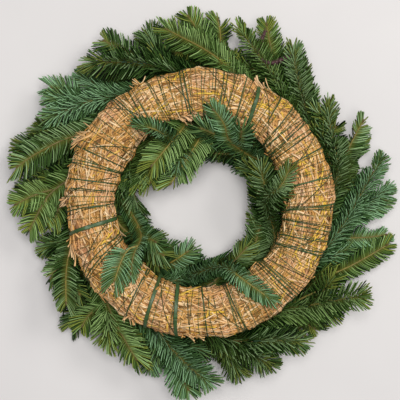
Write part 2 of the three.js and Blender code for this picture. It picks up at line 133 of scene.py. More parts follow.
# %% [markdown]
# ## Camera, light and floor
#
# The photograph looks straight down from above, from far enough away that the wreath hardly tapers.
# So the camera hangs straight above the ring with a long lens. A pixel is a named size here: the picture
# is 400 pixels across, and the ring's centre falls a little below the picture's middle.

# %% Camera
PICTURE_SIDE = 400
PIXEL_MM = 1.103
RING_PIXEL = (199.5, 203.5)
CAMERA_HEIGHT = 1300.0


def placed(name, data):
    thing = bpy.data.objects.new(name, data)
    bpy.context.scene.collection.objects.link(thing)
    return thing


camera_data = bpy.data.cameras.new("camera")
camera = placed("camera", camera_data)
camera_data.sensor_width = 36
camera_data.lens = camera_data.sensor_width * CAMERA_HEIGHT / (PICTURE_SIDE * PIXEL_MM)
camera.location = (
    (RING_X + (PICTURE_SIDE / 2 - RING_PIXEL[0]) * PIXEL_MM) * MM,
    (RING_Y - (PICTURE_SIDE / 2 - RING_PIXEL[1]) * PIXEL_MM) * MM,
    (RING_TOP + CAMERA_HEIGHT) * MM,
)
bpy.context.scene.camera = camera
print("lens", round(camera_data.lens, 1), "mm")

# %% [markdown]
# The light is a pale room with one wide light overhead, which reaches the floor inside the ring, and a
# window light from the upper right, which leaves the lower left a shade cooler. Wide lights keep the
# light soft between the needles.


# %% Lights and the pale surroundings
def area_light(name, place, size, power, tint):
    data = bpy.data.lights.new(name, "AREA")
    data.size = size
    data.energy = power
    data.color = tint
    lamp = placed(name, data)
    lamp.location = place
    lamp.rotation_euler = (-lamp.location).to_track_quat("-Z", "Y").to_euler()


area_light("overhead_light", (0.1, 0.15, 2.3), 1.0, 41.5, (1.0, 0.99, 0.97))
area_light("window_light", (1.1, 0.8, 1.6), 0.7, 11.5, (1.0, 0.98, 0.95))
world = bpy.data.worlds.new("pale_room")
bpy.context.scene.world = world
world.use_nodes = True
room = world.node_tree.nodes["Background"].inputs
room["Color"].default_value = (0.93, 0.94, 1.0, 1)
room["Strength"].default_value = 0.15
bpy.context.scene.view_settings.view_transform = "Standard"

# %% [markdown]
# ## Shader groups
#
# Three effects come back in several finishes, so each is a node group that is built once. `four_tones`
# turns a piece's own tone number into one of its colours; a needle's tone number also carries painted light
# and painted shade. `patches` is soft, uneven staining.
# `grain` is fine lines along a stalk, a twig or a film. Every strand's mesh carries its tone and
# how far along it a point lies, so the colours sit on the surface from every side.


# %% Helpers for node trees
def new_group(name, inputs, output):
    """A node group with these inputs and one output, its entry sockets and its leaving one."""
    group = bpy.data.node_groups.new(name, "ShaderNodeTree")
    for label, kind in inputs:
        group.interface.new_socket(label, in_out="INPUT", socket_type=kind)
    group.interface.new_socket(output[0], in_out="OUTPUT", socket_type=output[1])
    return group, group.nodes.new("NodeGroupInput").outputs, group.nodes.new("NodeGroupOutput").inputs[0]


def add_node(tree, kind, values, **settings):
    """Values by socket: another node's socket, a number, or a colour as red, green and blue."""
    node = tree.nodes.new(kind)
    for key, value in settings.items():
        setattr(node, key, value)
    for key, value in values.items():
        if isinstance(value, bpy.types.NodeSocket):
            tree.links.new(value, node.inputs[key])
        else:
            node.inputs[key].default_value = (*value, 1.0) if isinstance(value, tuple) else value
    return node


def mixed(tree, amount, first, second, blend="MIX"):
    colors = {0: amount, 6: first, 7: second}
    return add_node(tree, "ShaderNodeMix", colors, data_type="RGBA", blend_type=blend).outputs[2]


def remapped(tree, value, from_low, from_high, to_low=0.0, to_high=1.0):
    limits = {"From Min": from_low, "From Max": from_high, "To Min": to_low, "To Max": to_high}
    return add_node(tree, "ShaderNodeMapRange", {"Value": value, **limits}).outputs["Result"]


def calculated(tree, operation, first, second, clamped=False):
    numbers = {0: first, 1: second}
    return add_node(tree, "ShaderNodeMath", numbers, operation=operation, use_clamp=clamped).outputs[0]


def grouped(tree, group, values):
    return add_node(tree, "ShaderNodeGroup", values, node_tree=group).outputs[0]


COLOR, FLOAT = "NodeSocketColor", "NodeSocketFloat"
TONE_COLORS = ("Dark", "Middle", "Light", "Odd")
# The lightest plain tone, and the tone number of the odd colour
LIGHTEST = 0.85
ODD_TONE = 0.97
print("tone colours:", *TONE_COLORS)

# %% Group: four_tones
inputs = [("Tone", FLOAT)] + [(label, COLOR) for label in TONE_COLORS]
four_tones, entry, leave = new_group("four_tones", inputs, ("Color", COLOR))
tone = entry["Dark"]
for label, low, high in (("Middle", 0.0, 0.45), ("Light", 0.45, 0.85), ("Odd", 0.86, 0.92)):
    tone = mixed(four_tones, remapped(four_tones, entry["Tone"], low, high), tone, entry[label])
four_tones.links.new(tone, leave)
print("built group", four_tones.name)

# %% Group: patches
inputs = [("Size", FLOAT), ("Threshold", FLOAT), ("Softness", FLOAT)]
patches, entry, leave = new_group("patches", inputs, ("Mask", FLOAT))
place = add_node(patches, "ShaderNodeTexCoord", {}).outputs["Object"]
scale = calculated(patches, "DIVIDE", 1.0, entry["Size"])
noise = {"Vector": place, "Scale": scale, "Detail": 3.0, "Roughness": 0.6}
cloud = add_node(patches, "ShaderNodeTexNoise", noise).outputs["Fac"]
above = calculated(patches, "SUBTRACT", cloud, entry["Threshold"])
patches.links.new(calculated(patches, "DIVIDE", above, entry["Softness"], clamped=True), leave)
print("built group", patches.name)

# %% Group: grain
inputs = [("Along", FLOAT), ("Around", FLOAT), ("Seed", FLOAT), ("Stretch", FLOAT)]
grain, entry, leave = new_group("grain", inputs, ("Lines", FLOAT))
stretched = calculated(grain, "DIVIDE", entry["Along"], entry["Stretch"])
coordinates = {"X": stretched, "Y": entry["Around"], "Z": entry["Seed"]}
place = add_node(grain, "ShaderNodeCombineXYZ", coordinates).outputs[0]
noise = {"Vector": place, "Scale": 1.0, "Detail": 2.0, "Roughness": 0.55}
lines = add_node(grain, "ShaderNodeTexNoise", noise).outputs["Fac"]
grain.links.new(remapped(grain, lines, 0.3, 0.7), leave)
print("built group", grain.name)

# %% [markdown]
# ## Finishes
#
# Fir needles are waxy: dark green above with a fine ridge, paler blue-green below where the breathing
# pores lie in two bands, and yellower at their foot. Twigs are olive and ribbed when young and brown
# when old. Straw is dry and split, golden with pinkish and yellow stalks. The twine is a thin green film.
# One function makes them all, because they share the groups and differ only in colours and gloss.


# %% One strand finish, from the groups
def new_material(name):
    material = bpy.data.materials.new(name)
    material.use_nodes = True
    return material, material.node_tree, material.node_tree.nodes["Principled BSDF"].inputs


def attribute(tree, name):
    return add_node(tree, "ShaderNodeAttribute", {}, attribute_name=name).outputs["Fac"]


def strand_finish(name, tones, stain, stain_size, stain_share, gloss, stretch, relief, shine=0.5):
    material, tree, surface = new_material(name)
    tone = attribute(tree, "tone")
    color = grouped(tree, four_tones, {"Tone": tone, **dict(zip(TONE_COLORS, tones))})
    seed = calculated(tree, "MULTIPLY", tone, 97.0)
    place = {"Along": attribute(tree, "along"), "Around": attribute(tree, "around"), "Seed": seed}
    lines = grouped(tree, grain, {**place, "Stretch": stretch})
    shaded = mixed(tree, 1.0, color, remapped(tree, lines, 0.0, 1.0, 0.62, 1.25), "MULTIPLY")
    spots = grouped(tree, patches, {"Size": stain_size, "Threshold": 0.5, "Softness": 0.16})
    stained = mixed(tree, calculated(tree, "MULTIPLY", spots, stain_share), shaded, stain)
    bump = add_node(tree, "ShaderNodeBump", {"Strength": relief, "Distance": 0.0003, "Height": lines})
    tree.links.new(stained, surface["Base Color"])
    tree.links.new(remapped(tree, lines, 0.0, 1.0, gloss + 0.12, gloss - 0.06), surface["Roughness"])
    tree.links.new(bump.outputs["Normal"], surface["Normal"])
    surface["Specular IOR Level"].default_value = shine
    return material, tree, surface, stained


bark = strand_finish(
    "bark",
    ((0.085, 0.055, 0.018), (0.17, 0.135, 0.026), (0.26, 0.205, 0.035), (0.11, 0.05, 0.055)),
    (0.11, 0.075, 0.03), stain_size=0.03, stain_share=0.4, gloss=0.6, stretch=2.0, relief=0.6,
)[0]
straw = strand_finish(
    "straw_stalks",
    ((0.3, 0.14, 0.033), (0.735, 0.38, 0.093), (0.94, 0.68, 0.38), (0.88, 0.56, 0.06)),
    (0.8, 0.43, 0.26), stain_size=0.03, stain_share=0.4, gloss=0.5, stretch=6.0, relief=0.5,
)[0]
film = strand_finish(
    "green_film",
    ((0.02, 0.04, 0.012), (0.042, 0.095, 0.032), (0.12, 0.2, 0.07), (0.3, 0.23, 0.07)),
    (0.07, 0.075, 0.02), stain_size=0.02, stain_share=0.5, gloss=0.35, stretch=5.0, relief=0.35, shine=0.25,
)[0]
print("finishes:", bark.name, straw.name, film.name)


# %% Needle finishes: the strand finish with a painted highlight on the ridge, painted shade at the edges, a yellow foot and pale bands below
def needle_finish(name, tones, stain, band):
    material, tree, surface, stained = strand_finish(
        name, tones, stain,
        stain_size=0.05, stain_share=0.35, gloss=0.42, stretch=25.0, relief=0.15, shine=0.08,
    )
    # Painted highlight along each needle's ridge and painted shade towards its edges
    ridge_light_factor = remapped(tree, attribute(tree, "side"), -0.5, 0.8, 0.0, 2.4)
    ridge_lit = mixed(tree, 1.0, stained, ridge_light_factor, "MULTIPLY")
    foot = remapped(tree, attribute(tree, "along"), 0.5, 7.0, 0.62, 0.0)
    rooted = mixed(tree, foot, ridge_lit, (0.17, 0.175, 0.03))
    below = remapped(tree, attribute(tree, "facing"), -0.6, -0.9, 0.0, 0.7)
    tree.links.new(mixed(tree, below, rooted, band), surface["Base Color"])
    return material


NEEDLE_FINISHES = {
    "fresh": needle_finish(
        "fresh_needle",
        ((0.006, 0.016, 0.003), (0.054, 0.104, 0.021), (0.225, 0.34, 0.12), (0.14, 0.175, 0.032)),
        stain=(0.07, 0.09, 0.015), band=(0.1, 0.19, 0.11),
    ),
    "deep": needle_finish(
        "deep_needle",
        ((0.004, 0.013, 0.002), (0.042, 0.086, 0.02), (0.21, 0.315, 0.145), (0.11, 0.14, 0.03)),
        stain=(0.05, 0.06, 0.012), band=(0.08, 0.16, 0.1),
    ),
    "blue": needle_finish(
        "blue_needle",
        ((0.004, 0.014, 0.004), (0.046, 0.1, 0.031), (0.2, 0.345, 0.185), (0.09, 0.15, 0.05)),
        stain=(0.03, 0.07, 0.02), band=(0.1, 0.2, 0.12),
    ),
}
print("needle finishes:", [finish.name for finish in NEEDLE_FINISHES.values()])

# %% [markdown]
# ## Strands
#
# Needles, stalks, twigs and threads are all strands: a section swept along a line. `sweep` makes many
# at once, with the same number of stations each, as closed meshes. It gives each vertex its place along
# the strand, round it and its side, and each face the way it faces. A strand may end in a point, as a
# needle does.


# %% Sweep many strands at once
MARKS = ("along", "around", "side", "tone", "facing")


def sweep(lines, ups, widths, heights, tones, sides, pointed=False):
    """Closed strands along the lines, with half widths and half heights, as (points, faces, marks)."""
    count, steps, _ = lines.shape
    ahead = unit(np.gradient(lines, axis=1))
    across = unit(np.cross(ahead, ups))
    up = np.cross(across, ahead)
    corner = np.arange(sides) * 2 * math.pi / sides + (math.pi / 2 if sides == 3 else 0)
    ring = lines[:, :, None] + across[:, :, None] * (np.cos(corner)[:, None] * widths[:, :, None, None])
    ring = ring + up[:, :, None] * (np.sin(corner)[:, None] * heights[:, :, None, None])
    points = ring.reshape(count, steps * sides, 3)
    gaps = np.linalg.norm(np.diff(lines, axis=1), axis=2)
    travelled = np.concatenate([np.zeros((count, 1)), np.cumsum(gaps, axis=1)], axis=1)
    marks = {
        "along": np.repeat(travelled, sides, axis=1),
        "around": np.tile(corner, (count, steps)),
        "side": np.tile(np.sin(corner), (count, steps)),
    }
    spans = steps - 1
    if pointed:
        keep = spans * sides + 1
        points = np.concatenate([points[:, : keep - 1], lines[:, -1:]], axis=1)
        marks = {key: values[:, :keep] for key, values in marks.items()}
        spans -= 1
    marks["tone"] = np.repeat(tones[:, None], points.shape[1], 1)
    k = np.arange(sides)
    after = (k + 1) % sides
    quad = np.stack([k, after, sides + after, sides + k], 1)
    end = spans * sides
    caps = [k[::-1][None], end + k[None]]
    if pointed:
        caps[1] = np.stack([end + k, end + after, np.full(sides, end + sides)], 1)
    face_side = np.sin(corner + math.pi / sides)
    end_facing = np.tile(face_side, count) if pointed else np.zeros(count)
    marks["facing"] = np.concatenate([np.tile(face_side, count * spans), np.zeros(count), end_facing])
    offsets = np.arange(count)[:, None, None] * points.shape[1]
    patterns = [np.concatenate([quad + s * sides for s in range(spans)])] + caps
    faces = [(pattern[None] + offsets).reshape(-1, pattern.shape[1]) for pattern in patterns]
    return points.reshape(-1, 3), faces, {key: values.ravel() for key, values in marks.items()}


def tube(line, up, radii, tone, sides, pointed=False):
    """One round strand."""
    return sweep(line[None], up[None], radii[None], radii[None], np.array([tone]), sides, pointed)


print("marks on every strand:", *MARKS)


# %% Join swept strands into one piece
def add_piece(name, groups, replaced, smooth=True):
    """Joins pairs of a material and swept strands, and returns how many triangles the piece has."""
    mesh = bpy.data.meshes.new(name)
    points = np.concatenate([swept[0] for _, swept in groups])
    faces = []
    owners = []
    start = 0
    for index, (material, swept) in enumerate(groups):
        mesh.materials.append(material)
        for batch in swept[1]:
            faces.extend((batch + start).tolist())
            owners.extend([index] * len(batch))
        start += len(swept[0])
    mesh.from_pydata((points * MM).tolist(), [], faces)
    for key in MARKS:
        layer = mesh.attributes.new(key, "FLOAT", "FACE" if key == "facing" else "POINT")
        values = np.concatenate([swept[2][key] for _, swept in groups])
        layer.data.foreach_set("value", values.astype(np.float32))
    mesh.polygons.foreach_set("material_index", owners)
    mesh.polygons.foreach_set("use_smooth", [smooth] * len(faces))
    piece = placed(name, mesh)
    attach(piece, "root")
    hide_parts(*replaced)
    return sum(len(face) - 2 for face in faces)


# %% [markdown]
# ## Reading a sprig
#
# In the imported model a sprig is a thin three-cornered twig with long spikes for needles. Its twigs'
# middle lines are found again from the mesh: corners that lie close together are one ring of the twig,
# a corner alone at the end of three long edges is a needle's point, and the shortest way from each
# twig's end spike back to the bare butt is that twig's line.


# %% Corners and edges of a node, with shared corners welded
def welded(node):
    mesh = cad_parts[node].data
    corners = np.empty(len(mesh.vertices) * 3)
    mesh.vertices.foreach_get("co", corners)
    pairs = np.empty(len(mesh.edges) * 2, int)
    mesh.edges.foreach_get("vertices", pairs)
    points, shared = np.unique(np.round(corners.reshape(-1, 3) / MM, 2), axis=0, return_inverse=True)
    edges = np.sort(shared.reshape(-1)[pairs.reshape(-1, 2)], axis=1)
    edges = np.unique(edges[edges[:, 0] != edges[:, 1]], axis=0)
    return points, edges, np.linalg.norm(points[edges[:, 0]] - points[edges[:, 1]], axis=1)


print("edges of the packed straw ring:", len(welded("straw_ring")[1]))

# %% Rings of a tube, and the spikes that stand on them
# Corners nearer each other than this are one ring, in mm, for each kind of tube
SPRIG_NEARNESS = 4.3
TWINE_NEARNESS = 1.6
BAND_NEARNESS = 5.0
THREAD_NEARNESS = 0.9


def rings_of(node, nearness, spike):
    """Ring centres and sizes, the links between rings, and needle points as (point, foot, ring)."""
    points, edges, lengths = welded(node)
    valence = np.bincount(edges.ravel(), minlength=len(points))
    shortest = np.full(len(points), np.inf)
    np.minimum.at(shortest, edges[:, 0], lengths)
    np.minimum.at(shortest, edges[:, 1], lengths)
    apex = (valence == 3) & (shortest > spike)
    group = list(range(len(points)))

    def leader(i):
        while group[i] != i:
            i = group[i]
        return i

    for (a, b), length in zip(edges, lengths):
        if length < nearness and not apex[a] and not apex[b]:
            group[leader(a)] = leader(b)
    leaders = np.array([leader(i) for i in range(len(points))])
    names, ring = np.unique(leaders[~apex], return_inverse=True)
    owner = np.full(len(points), -1)
    owner[~apex] = ring
    sizes = np.bincount(ring)
    centres = np.stack([np.bincount(ring, points[~apex][:, i]) for i in range(3)], 1) / sizes[:, None]
    links = {i: set() for i in range(len(names))}
    feet = {}
    for a, b in edges:
        if apex[a] or apex[b]:
            point, foot = (a, b) if apex[a] else (b, a)
            feet.setdefault(point, []).append(foot)
        elif owner[a] != owner[b]:
            links[owner[a]].add(owner[b])
            links[owner[b]].add(owner[a])
    spikes = [(points[p], points[f].mean(0), owner[f[0]]) for p, f in feet.items()]
    return centres, sizes, links, spikes


print("rings of the packed thread:", len(rings_of("straw_thread", THREAD_NEARNESS, math.inf)[0]))


# %% From rings to twig lines
LEAST_SPIKE = 6.0
END_SPIKE = 9.5


def twig_lines(node):
    """Lines from the butt to the furthest tip and from each fork to its tip, and the needles' points."""
    centres, sizes, links, spikes = rings_of(node, SPRIG_NEARNESS, LEAST_SPIKE)
    needled = {ring for _, _, ring in spikes}
    ends = [i for i in links if len(links[i]) == 1 and sizes[i] == 3 and i not in needled]
    middle = centres.mean(0)
    butt = max(ends, key=lambda i: np.linalg.norm(centres[i] - middle))
    tips = {ring: point for point, foot, ring in spikes if np.linalg.norm(point - foot) < END_SPIKE}
    tips.update({i: centres[i] for i in links if centres[i][2] < 0.01})
    distance = {butt: 0.0}
    before = {}
    queue = [(0.0, butt)]
    while queue:
        reached, here = heapq.heappop(queue)
        if reached > distance[here]:
            continue
        for there in links[here]:
            total = reached + float(np.linalg.norm(centres[there] - centres[here]))
            if total < distance.get(there, math.inf):
                distance[there] = total
                before[there] = here
                heapq.heappush(queue, (total, there))
    lines = []
    used = set()
    for tip in sorted(tips, key=lambda i: -distance.get(i, 0)):
        if tip not in distance:
            continue
        way = [tip]
        while way[-1] != butt and way[-1] not in used:
            way.append(before[way[-1]])
        used.update(way)
        lines.append(np.array([centres[i] for i in reversed(way)] + [tips[tip]]))
    return lines, [point for point, _, _ in spikes]


sprig_nodes = sorted(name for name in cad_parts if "sprig" in name)
sprigs = {}
packed_points = []
for name in sprig_nodes:
    sprigs[name], points = twig_lines(name)
    packed_points += points
packed_points = np.array(packed_points)
print("sprigs:", len(sprigs), "twigs:", sum(len(lines) for lines in sprigs.values()))

# %% A smooth line with even steps
SMOOTHING_PASSES = 120
TWIG_STEP = 4.0


def travelled_along(line):
    """How far along its line each point lies, in mm."""
    return np.concatenate([[0], np.cumsum(np.linalg.norm(np.diff(line, axis=0), axis=1))])


def at_distances(distances, travelled, values):
    return np.stack([np.interp(distances, travelled, values[:, i]) for i in range(3)], axis=1)


def even_line(points, step=TWIG_STEP):
    """A rounded line through the points, with steps of about that length, and how long it is."""
    ends = np.concatenate([2 * points[:1] - points[1:2], points, 2 * points[-1:] - points[-2:-1]])
    dense = []
    t = np.linspace(0, 1, 8, endpoint=False)[:, None]
    for i in range(1, len(ends) - 2):
        p0, p1, p2, p3 = ends[i - 1 : i + 3]
        curve = 2 * p1 + (p2 - p0) * t + (2 * p0 - 5 * p1 + 4 * p2 - p3) * t**2
        dense.append(0.5 * (curve + (3 * p1 - p0 - 3 * p2 + p3) * t**3))
    dense = np.concatenate(dense + [points[-1:]])
    for _ in range(SMOOTHING_PASSES):
        dense[1:-1] = (dense[:-2] + 2 * dense[1:-1] + dense[2:]) / 4
    travelled = travelled_along(dense)
    count = max(3, int(round(travelled[-1] / step)) + 1)
    return at_distances(np.linspace(0, travelled[-1], count), travelled, dense), travelled[-1]


for name in ("outer_sprig_01", "inner_sprig_02", "front_sprig_02"):
    print(name, [round(even_line(line)[1]) for line in sprigs[name]])

# %% [markdown]
# ## How far the fir may reach
#
# Extra twigs and needles fill in between the imported sprigs' own twigs. They stay near the outline that
# the imported needles give, round each few degrees of the ring, and no nearer the middle of the hole. A
# few twigs that the picture shows well are placed one by one, each from its own sprig, and a few notches
# between the sprigs' tips are kept open. The hole of this wreath is uneven, so its edge is given by a
# few reaches round it, in the picture's pixels.

# %% Twigs placed one by one, as a sprig with pixels and a height at the fork, halfway and at the tip
EXTRA_TWIGS = [
    ("front_sprig_14", (322, 288, 22), (362, 270, 30), (396, 247, 30)),
    ("outer_sprig_01", (350, 226, 38), (375, 213, 36), (394, 200, 34)),
    ("inner_sprig_06", (193, 120, 80), (173, 138, 98), (151, 166, 82)),
    ("inner_sprig_06", (207, 128, 66), (191, 152, 86), (170, 184, 74)),
    ("inner_sprig_07", (150, 150, 60), (148, 168, 66), (149, 182, 60)),
    ("inner_sprig_11", (166, 267, 46), (177, 261, 52), (187, 253, 56)),
    ("outer_sprig_07", (76, 90, 36), (60, 84, 40), (46, 83, 40)),
    ("outer_sprig_12", (168, 352, 44), (176, 374, 48), (184, 393, 50)),
    ("front_sprig_10", (82, 300, 24), (72, 318, 22), (66, 330, 20)),
    ("inner_sprig_09", (126, 240, 88), (121, 262, 97), (115, 280, 96)),
]
CUT_TONE = 0.5
# Bare twigs with their tone: two have lost their needles, one is a cut end
BARE_TWIGS = [
    ("outer_sprig_04", ODD_TONE, (268, 65, 50), (281, 58, 60), (293, 52, 62)),
    ("outer_sprig_04", ODD_TONE, (255, 50, 46), (262, 38, 58), (267, 27, 60)),
    ("outer_sprig_14", CUT_TONE, (292, 306, 50), (303, 301, 60), (318, 294, 62)),
]


def from_pixel(across, down, height):
    x = RING_X + (across - RING_PIXEL[0]) * PIXEL_MM
    y = RING_Y - (down - RING_PIXEL[1]) * PIXEL_MM
    return np.array([x, y, height])


def by_eye(name, *marks):
    """A twig's line from its own sprig's main twig through three marks."""
    fork, halfway, tip = (from_pixel(*mark) for mark in marks)
    own = sprigs[name][0]
    joint = own[np.argmin(np.linalg.norm(own - fork, axis=1))]
    print("twig by eye on", name, "gap to its fork", round(float(np.linalg.norm(joint - fork))), "mm")
    return np.array([joint, fork, halfway, tip])


extra_lines = {}
for name, *marks in EXTRA_TWIGS:
    extra_lines.setdefault(name, []).append(by_eye(name, *marks))
bare_lines = {}
for name, tone, *marks in BARE_TWIGS:
    bare_lines.setdefault(name, []).append((by_eye(name, *marks), tone))

# %% Limits of the fir: its outline, the hole's uneven edge and the open notches
OUTLINE_BINS = 120
LEAST_REACH = 180.0
OUTLINE_MARGIN = -1.0
BOX_MARGIN = 4.0
# Half the width of a listed twig with its needles, and the way that they stand from it
TWIG_HALF_WIDTH = 14.0
TWIG_SIDEWAYS = np.array([-0.5, 0.85, 0.0])
# Angle in degrees round the ring and the hole's reach there in pixels
HOLE_REACH = [
    (0, 51), (15, 57), (30, 59), (45, 46), (60, 53), (78, 48), (92, 41), (112, 34), (122, 36), (135, 42),
    (150, 44), (157, 47), (162, 58), (170, 68), (182, 70), (197, 54), (215, 52), (244, 49), (251, 49),
    (262, 49), (268, 52), (272, 56), (285, 65), (300, 65), (315, 59), (330, 58), (345, 55), (360, 51),
]
# Notches that stay open: pixels across and down, and radius in pixels
NOTCHES = [
    (237, 32, 12), (259, 30, 8), (250, 20, 7), (282, 38, 7), (99, 48, 10), (110, 51, 8), (180, 15, 7),
    (346, 121, 16), (337, 103, 7), (359, 114, 6), (375, 159, 10), (384, 229, 10), (375, 235, 8), (24, 222, 9),
    (27, 232, 8), (57, 320, 5), (196, 391, 10), (215, 379, 8), (306, 346, 11), (370, 298, 4),
]
print("reaches round the hole:", len(HOLE_REACH), "open notches:", len(NOTCHES))

# %% The outline from the imported needles and the listed twigs
outline = np.full(OUTLINE_BINS, LEAST_REACH)


def widen_outline(points):
    angle, reach = round_middle(points)
    bins = (angle / (2 * math.pi) % 1 * OUTLINE_BINS).astype(int) % OUTLINE_BINS
    np.maximum.at(outline, bins, reach + OUTLINE_MARGIN)


widen_outline(packed_points)
for lines in extra_lines.values():
    for line in lines:
        for sideways in (-TWIG_HALF_WIDTH, 0.0, TWIG_HALF_WIDTH):
            widen_outline(np.linspace(line[-2], line[-1], 12) + sideways * TWIG_SIDEWAYS)
HIGHEST = packed_points[:, 2].max()
print("outline", round(float(outline.min())), "to", round(float(outline.max())), "mm, top", round(HIGHEST, 1))


# %% How far points lie past those limits
def past_outline(points):
    """How far points lie outside the fir's outline, and how far inside the hole's, in mm."""
    angle, reach = round_middle(points)
    share = angle / (2 * math.pi) % 1
    bins = np.arange(-1, OUTLINE_BINS + 1)
    limit = np.interp(share * OUTLINE_BINS - 0.5, bins, outline[bins % OUTLINE_BINS])
    degrees, pixels = np.array(HOLE_REACH).T
    hole = np.interp(share * 360, degrees, pixels) * PIXEL_MM
    return reach - limit, hole - reach


def depth_in(spots, points):
    """How deep points lie in round spots of the picture, in mm, as seen from above."""
    deep = np.zeros(points.shape[:-1])
    for across, down, radius in spots:
        middle = from_pixel(across, down, 0.0)
        gap = np.hypot(points[..., 0] - middle[0], points[..., 1] - middle[1])
        deep = np.maximum(deep, radius * PIXEL_MM - gap)
    return deep


def past_box(points):
    """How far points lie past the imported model's own box, in mm."""
    low, high = (np.array(corner[:2]) / MM for corner in cad_box)
    beyond = np.maximum(points[..., :2] - high - BOX_MARGIN, low - BOX_MARGIN - points[..., :2])
    return np.maximum(beyond.max(axis=-1), 0)


print("the ring's middle lies", round(float(past_outline(from_pixel(*RING_PIXEL, 0.0))[1])), "mm in the hole")

# %% [markdown]
# ## Needles
#
# A fir shoot carries twenty to thirty needles a centimetre, in a spiral whose needles part to the two
# sides like a comb and leave the twig bare below. In this wreath many sprigs show that underside to the
# straw back, so their olive twigs are seen, and others stand up like a brush. Each needle is a flat
# blade with a ridge, curved forwards, longest at mid shoot and closing round the bud at the tip. Where
# a needle would run into the straw or the floor, it bends away along it, as a live one does.

# %% Sizes of the needles
NEEDLE_LENGTH = 19.5
NEEDLE_WIDTH = {"outer": 1.95, "inner": 1.65, "front": 1.95}
NEEDLE_THICKNESS = 1.0
GOLDEN_ANGLE = math.radians(137.5)
HALF_FAN = np.radians(118)
NEEDLE_STATIONS = np.array([0.0, 0.42, 0.92, 1.0])
NEEDLE_WIDTHS = np.array([0.5, 1.0, 0.86, 0.0])
NEEDLE_CURL = (0.26, 0.42)
# Degrees that needles lean from the twig: at its tip, more behind that, and more again at its foot
TIP_LEAN = 27
SIDE_LEAN = 49
FOOT_LEAN = 5
END_LENGTH = 20
# Painted light and shade: needles on a twig's upper side get a lighter tone, those on its under side a darker
# one
PAINTED_LIGHT_BY_NEEDLE_SIDE = 0.32
TUFT_LENGTH = 42.0
TUFT_REST = 5.0
RAGGED = (-5.0, 6.0)
TIP_LENGTH = 18.0
TIP_ROOM = 7.0
HOLE_ROOM_SHARE = 0.85
COMBED = 0.5
BRUSHED = 0.85
YOUNG_SHARE = 0.5
print("a needle is", NEEDLE_LENGTH, "mm long and this wide:", NEEDLE_WIDTH)


# %% Needles of one twig
def chance(share, count, rng):
    """True for about that share of the strands."""
    return rng.uniform(0, 1, count) < share


def needles_on(line, brush, start, density, length, tone, free, rng):
    """Lines, blade normals, tones and two kinds of room of a twig's needles, from start (mm) to its tip."""
    travelled = travelled_along(line)
    total = travelled[-1]
    count = max(4, int((total - start) * density))
    at = start + (total - start) * (np.arange(count) + rng.uniform(0, 0.3, count)) / count
    root = at_distances(at, travelled, line)
    ahead = unit(at_distances(at, travelled, unit(np.gradient(line, axis=0))))
    over = unit(brush - (ahead @ brush)[:, None] * ahead)
    side = np.cross(ahead, over)
    spin = (np.arange(count) * GOLDEN_ANGLE + rng.normal(0, 0.06, count)) % (2 * math.pi) / math.pi - 1
    parting = COMBED if brush[2] < 0 else BRUSHED
    roll = np.sign(spin) * HALF_FAN * np.abs(spin) ** parting
    to_tip = np.clip((total - at) / END_LENGTH, 0, 1)
    from_start = np.clip((at - start) / END_LENGTH, 0, 1)
    lean = TIP_LEAN + SIDE_LEAN * to_tip**0.6 + FOOT_LEAN * (1 - from_start) + rng.normal(0, 2.5, count)
    lean = np.radians(lean)
    away = np.cos(roll)[:, None] * over + np.sin(roll)[:, None] * side
    aim = unit(np.cos(lean)[:, None] * ahead + np.sin(lean)[:, None] * away)
    reach = length * (0.8 + 0.2 * to_tip) * (0.8 + 0.2 * from_start) * rng.uniform(0.9, 1.06, count)
    curl = unit(ahead * 0.9 + over * 0.35 + rng.normal(0, 0.08, (count, 3)))
    bend = reach * rng.uniform(*NEEDLE_CURL, count)
    t = NEEDLE_STATIONS[None, :, None]
    centre = root[:, None] + aim[:, None] * (reach[:, None, None] * t)
    centre = centre + curl[:, None] * (bend[:, None, None] * t**2)
    face = np.array([0, 0, 1.0]) + ahead * 0.2 + rng.normal(0, 0.16, (count, 3))
    # Painted light on upward needles and painted shade on downward ones, plus tone that differs at random
    tones = np.clip(tone + PAINTED_LIGHT_BY_NEEDLE_SIDE * away[:, 2] + rng.normal(0, 0.2, count), 0, LIGHTEST)
    tones = np.where(chance(YOUNG_SHARE * (1 - to_tip) ** 0.7, count, rng), ODD_TONE, tones)
    tuft_room = np.where(total - at < TUFT_LENGTH, STRAW_WIDTH, TUFT_REST)
    outline_room = np.full(count, NEEDLE_LENGTH) if free else rng.uniform(*RAGGED, count)
    outline_room = np.where(total - at < TIP_LENGTH, np.maximum(outline_room, TIP_ROOM), outline_room)
    return centre, face, tones, tuft_room, outline_room


print("turn from needle to needle:", round(math.degrees(GOLDEN_ANGLE), 1), "degrees")

# %% Room for needles
BACK_DEPTH = 14
DEEPEST = -7
STRAW_GAP = 0.9
NEAR_FLOOR = 1.0
FLOOR_GAP = 0.7
FLOOR_GIVE = 0.3
LEAST_SHARE = 0.55


def over_straw(points):
    """How far points lie over the straw back, in from its nearer edge, in mm."""
    out = np.abs(round_middle(points)[1] - RING_RADIUS)
    return np.where(points[..., 2] > RING_TOP - BACK_DEPTH, np.maximum(STRAW_WIDTH / 2 - out, 0), 0)


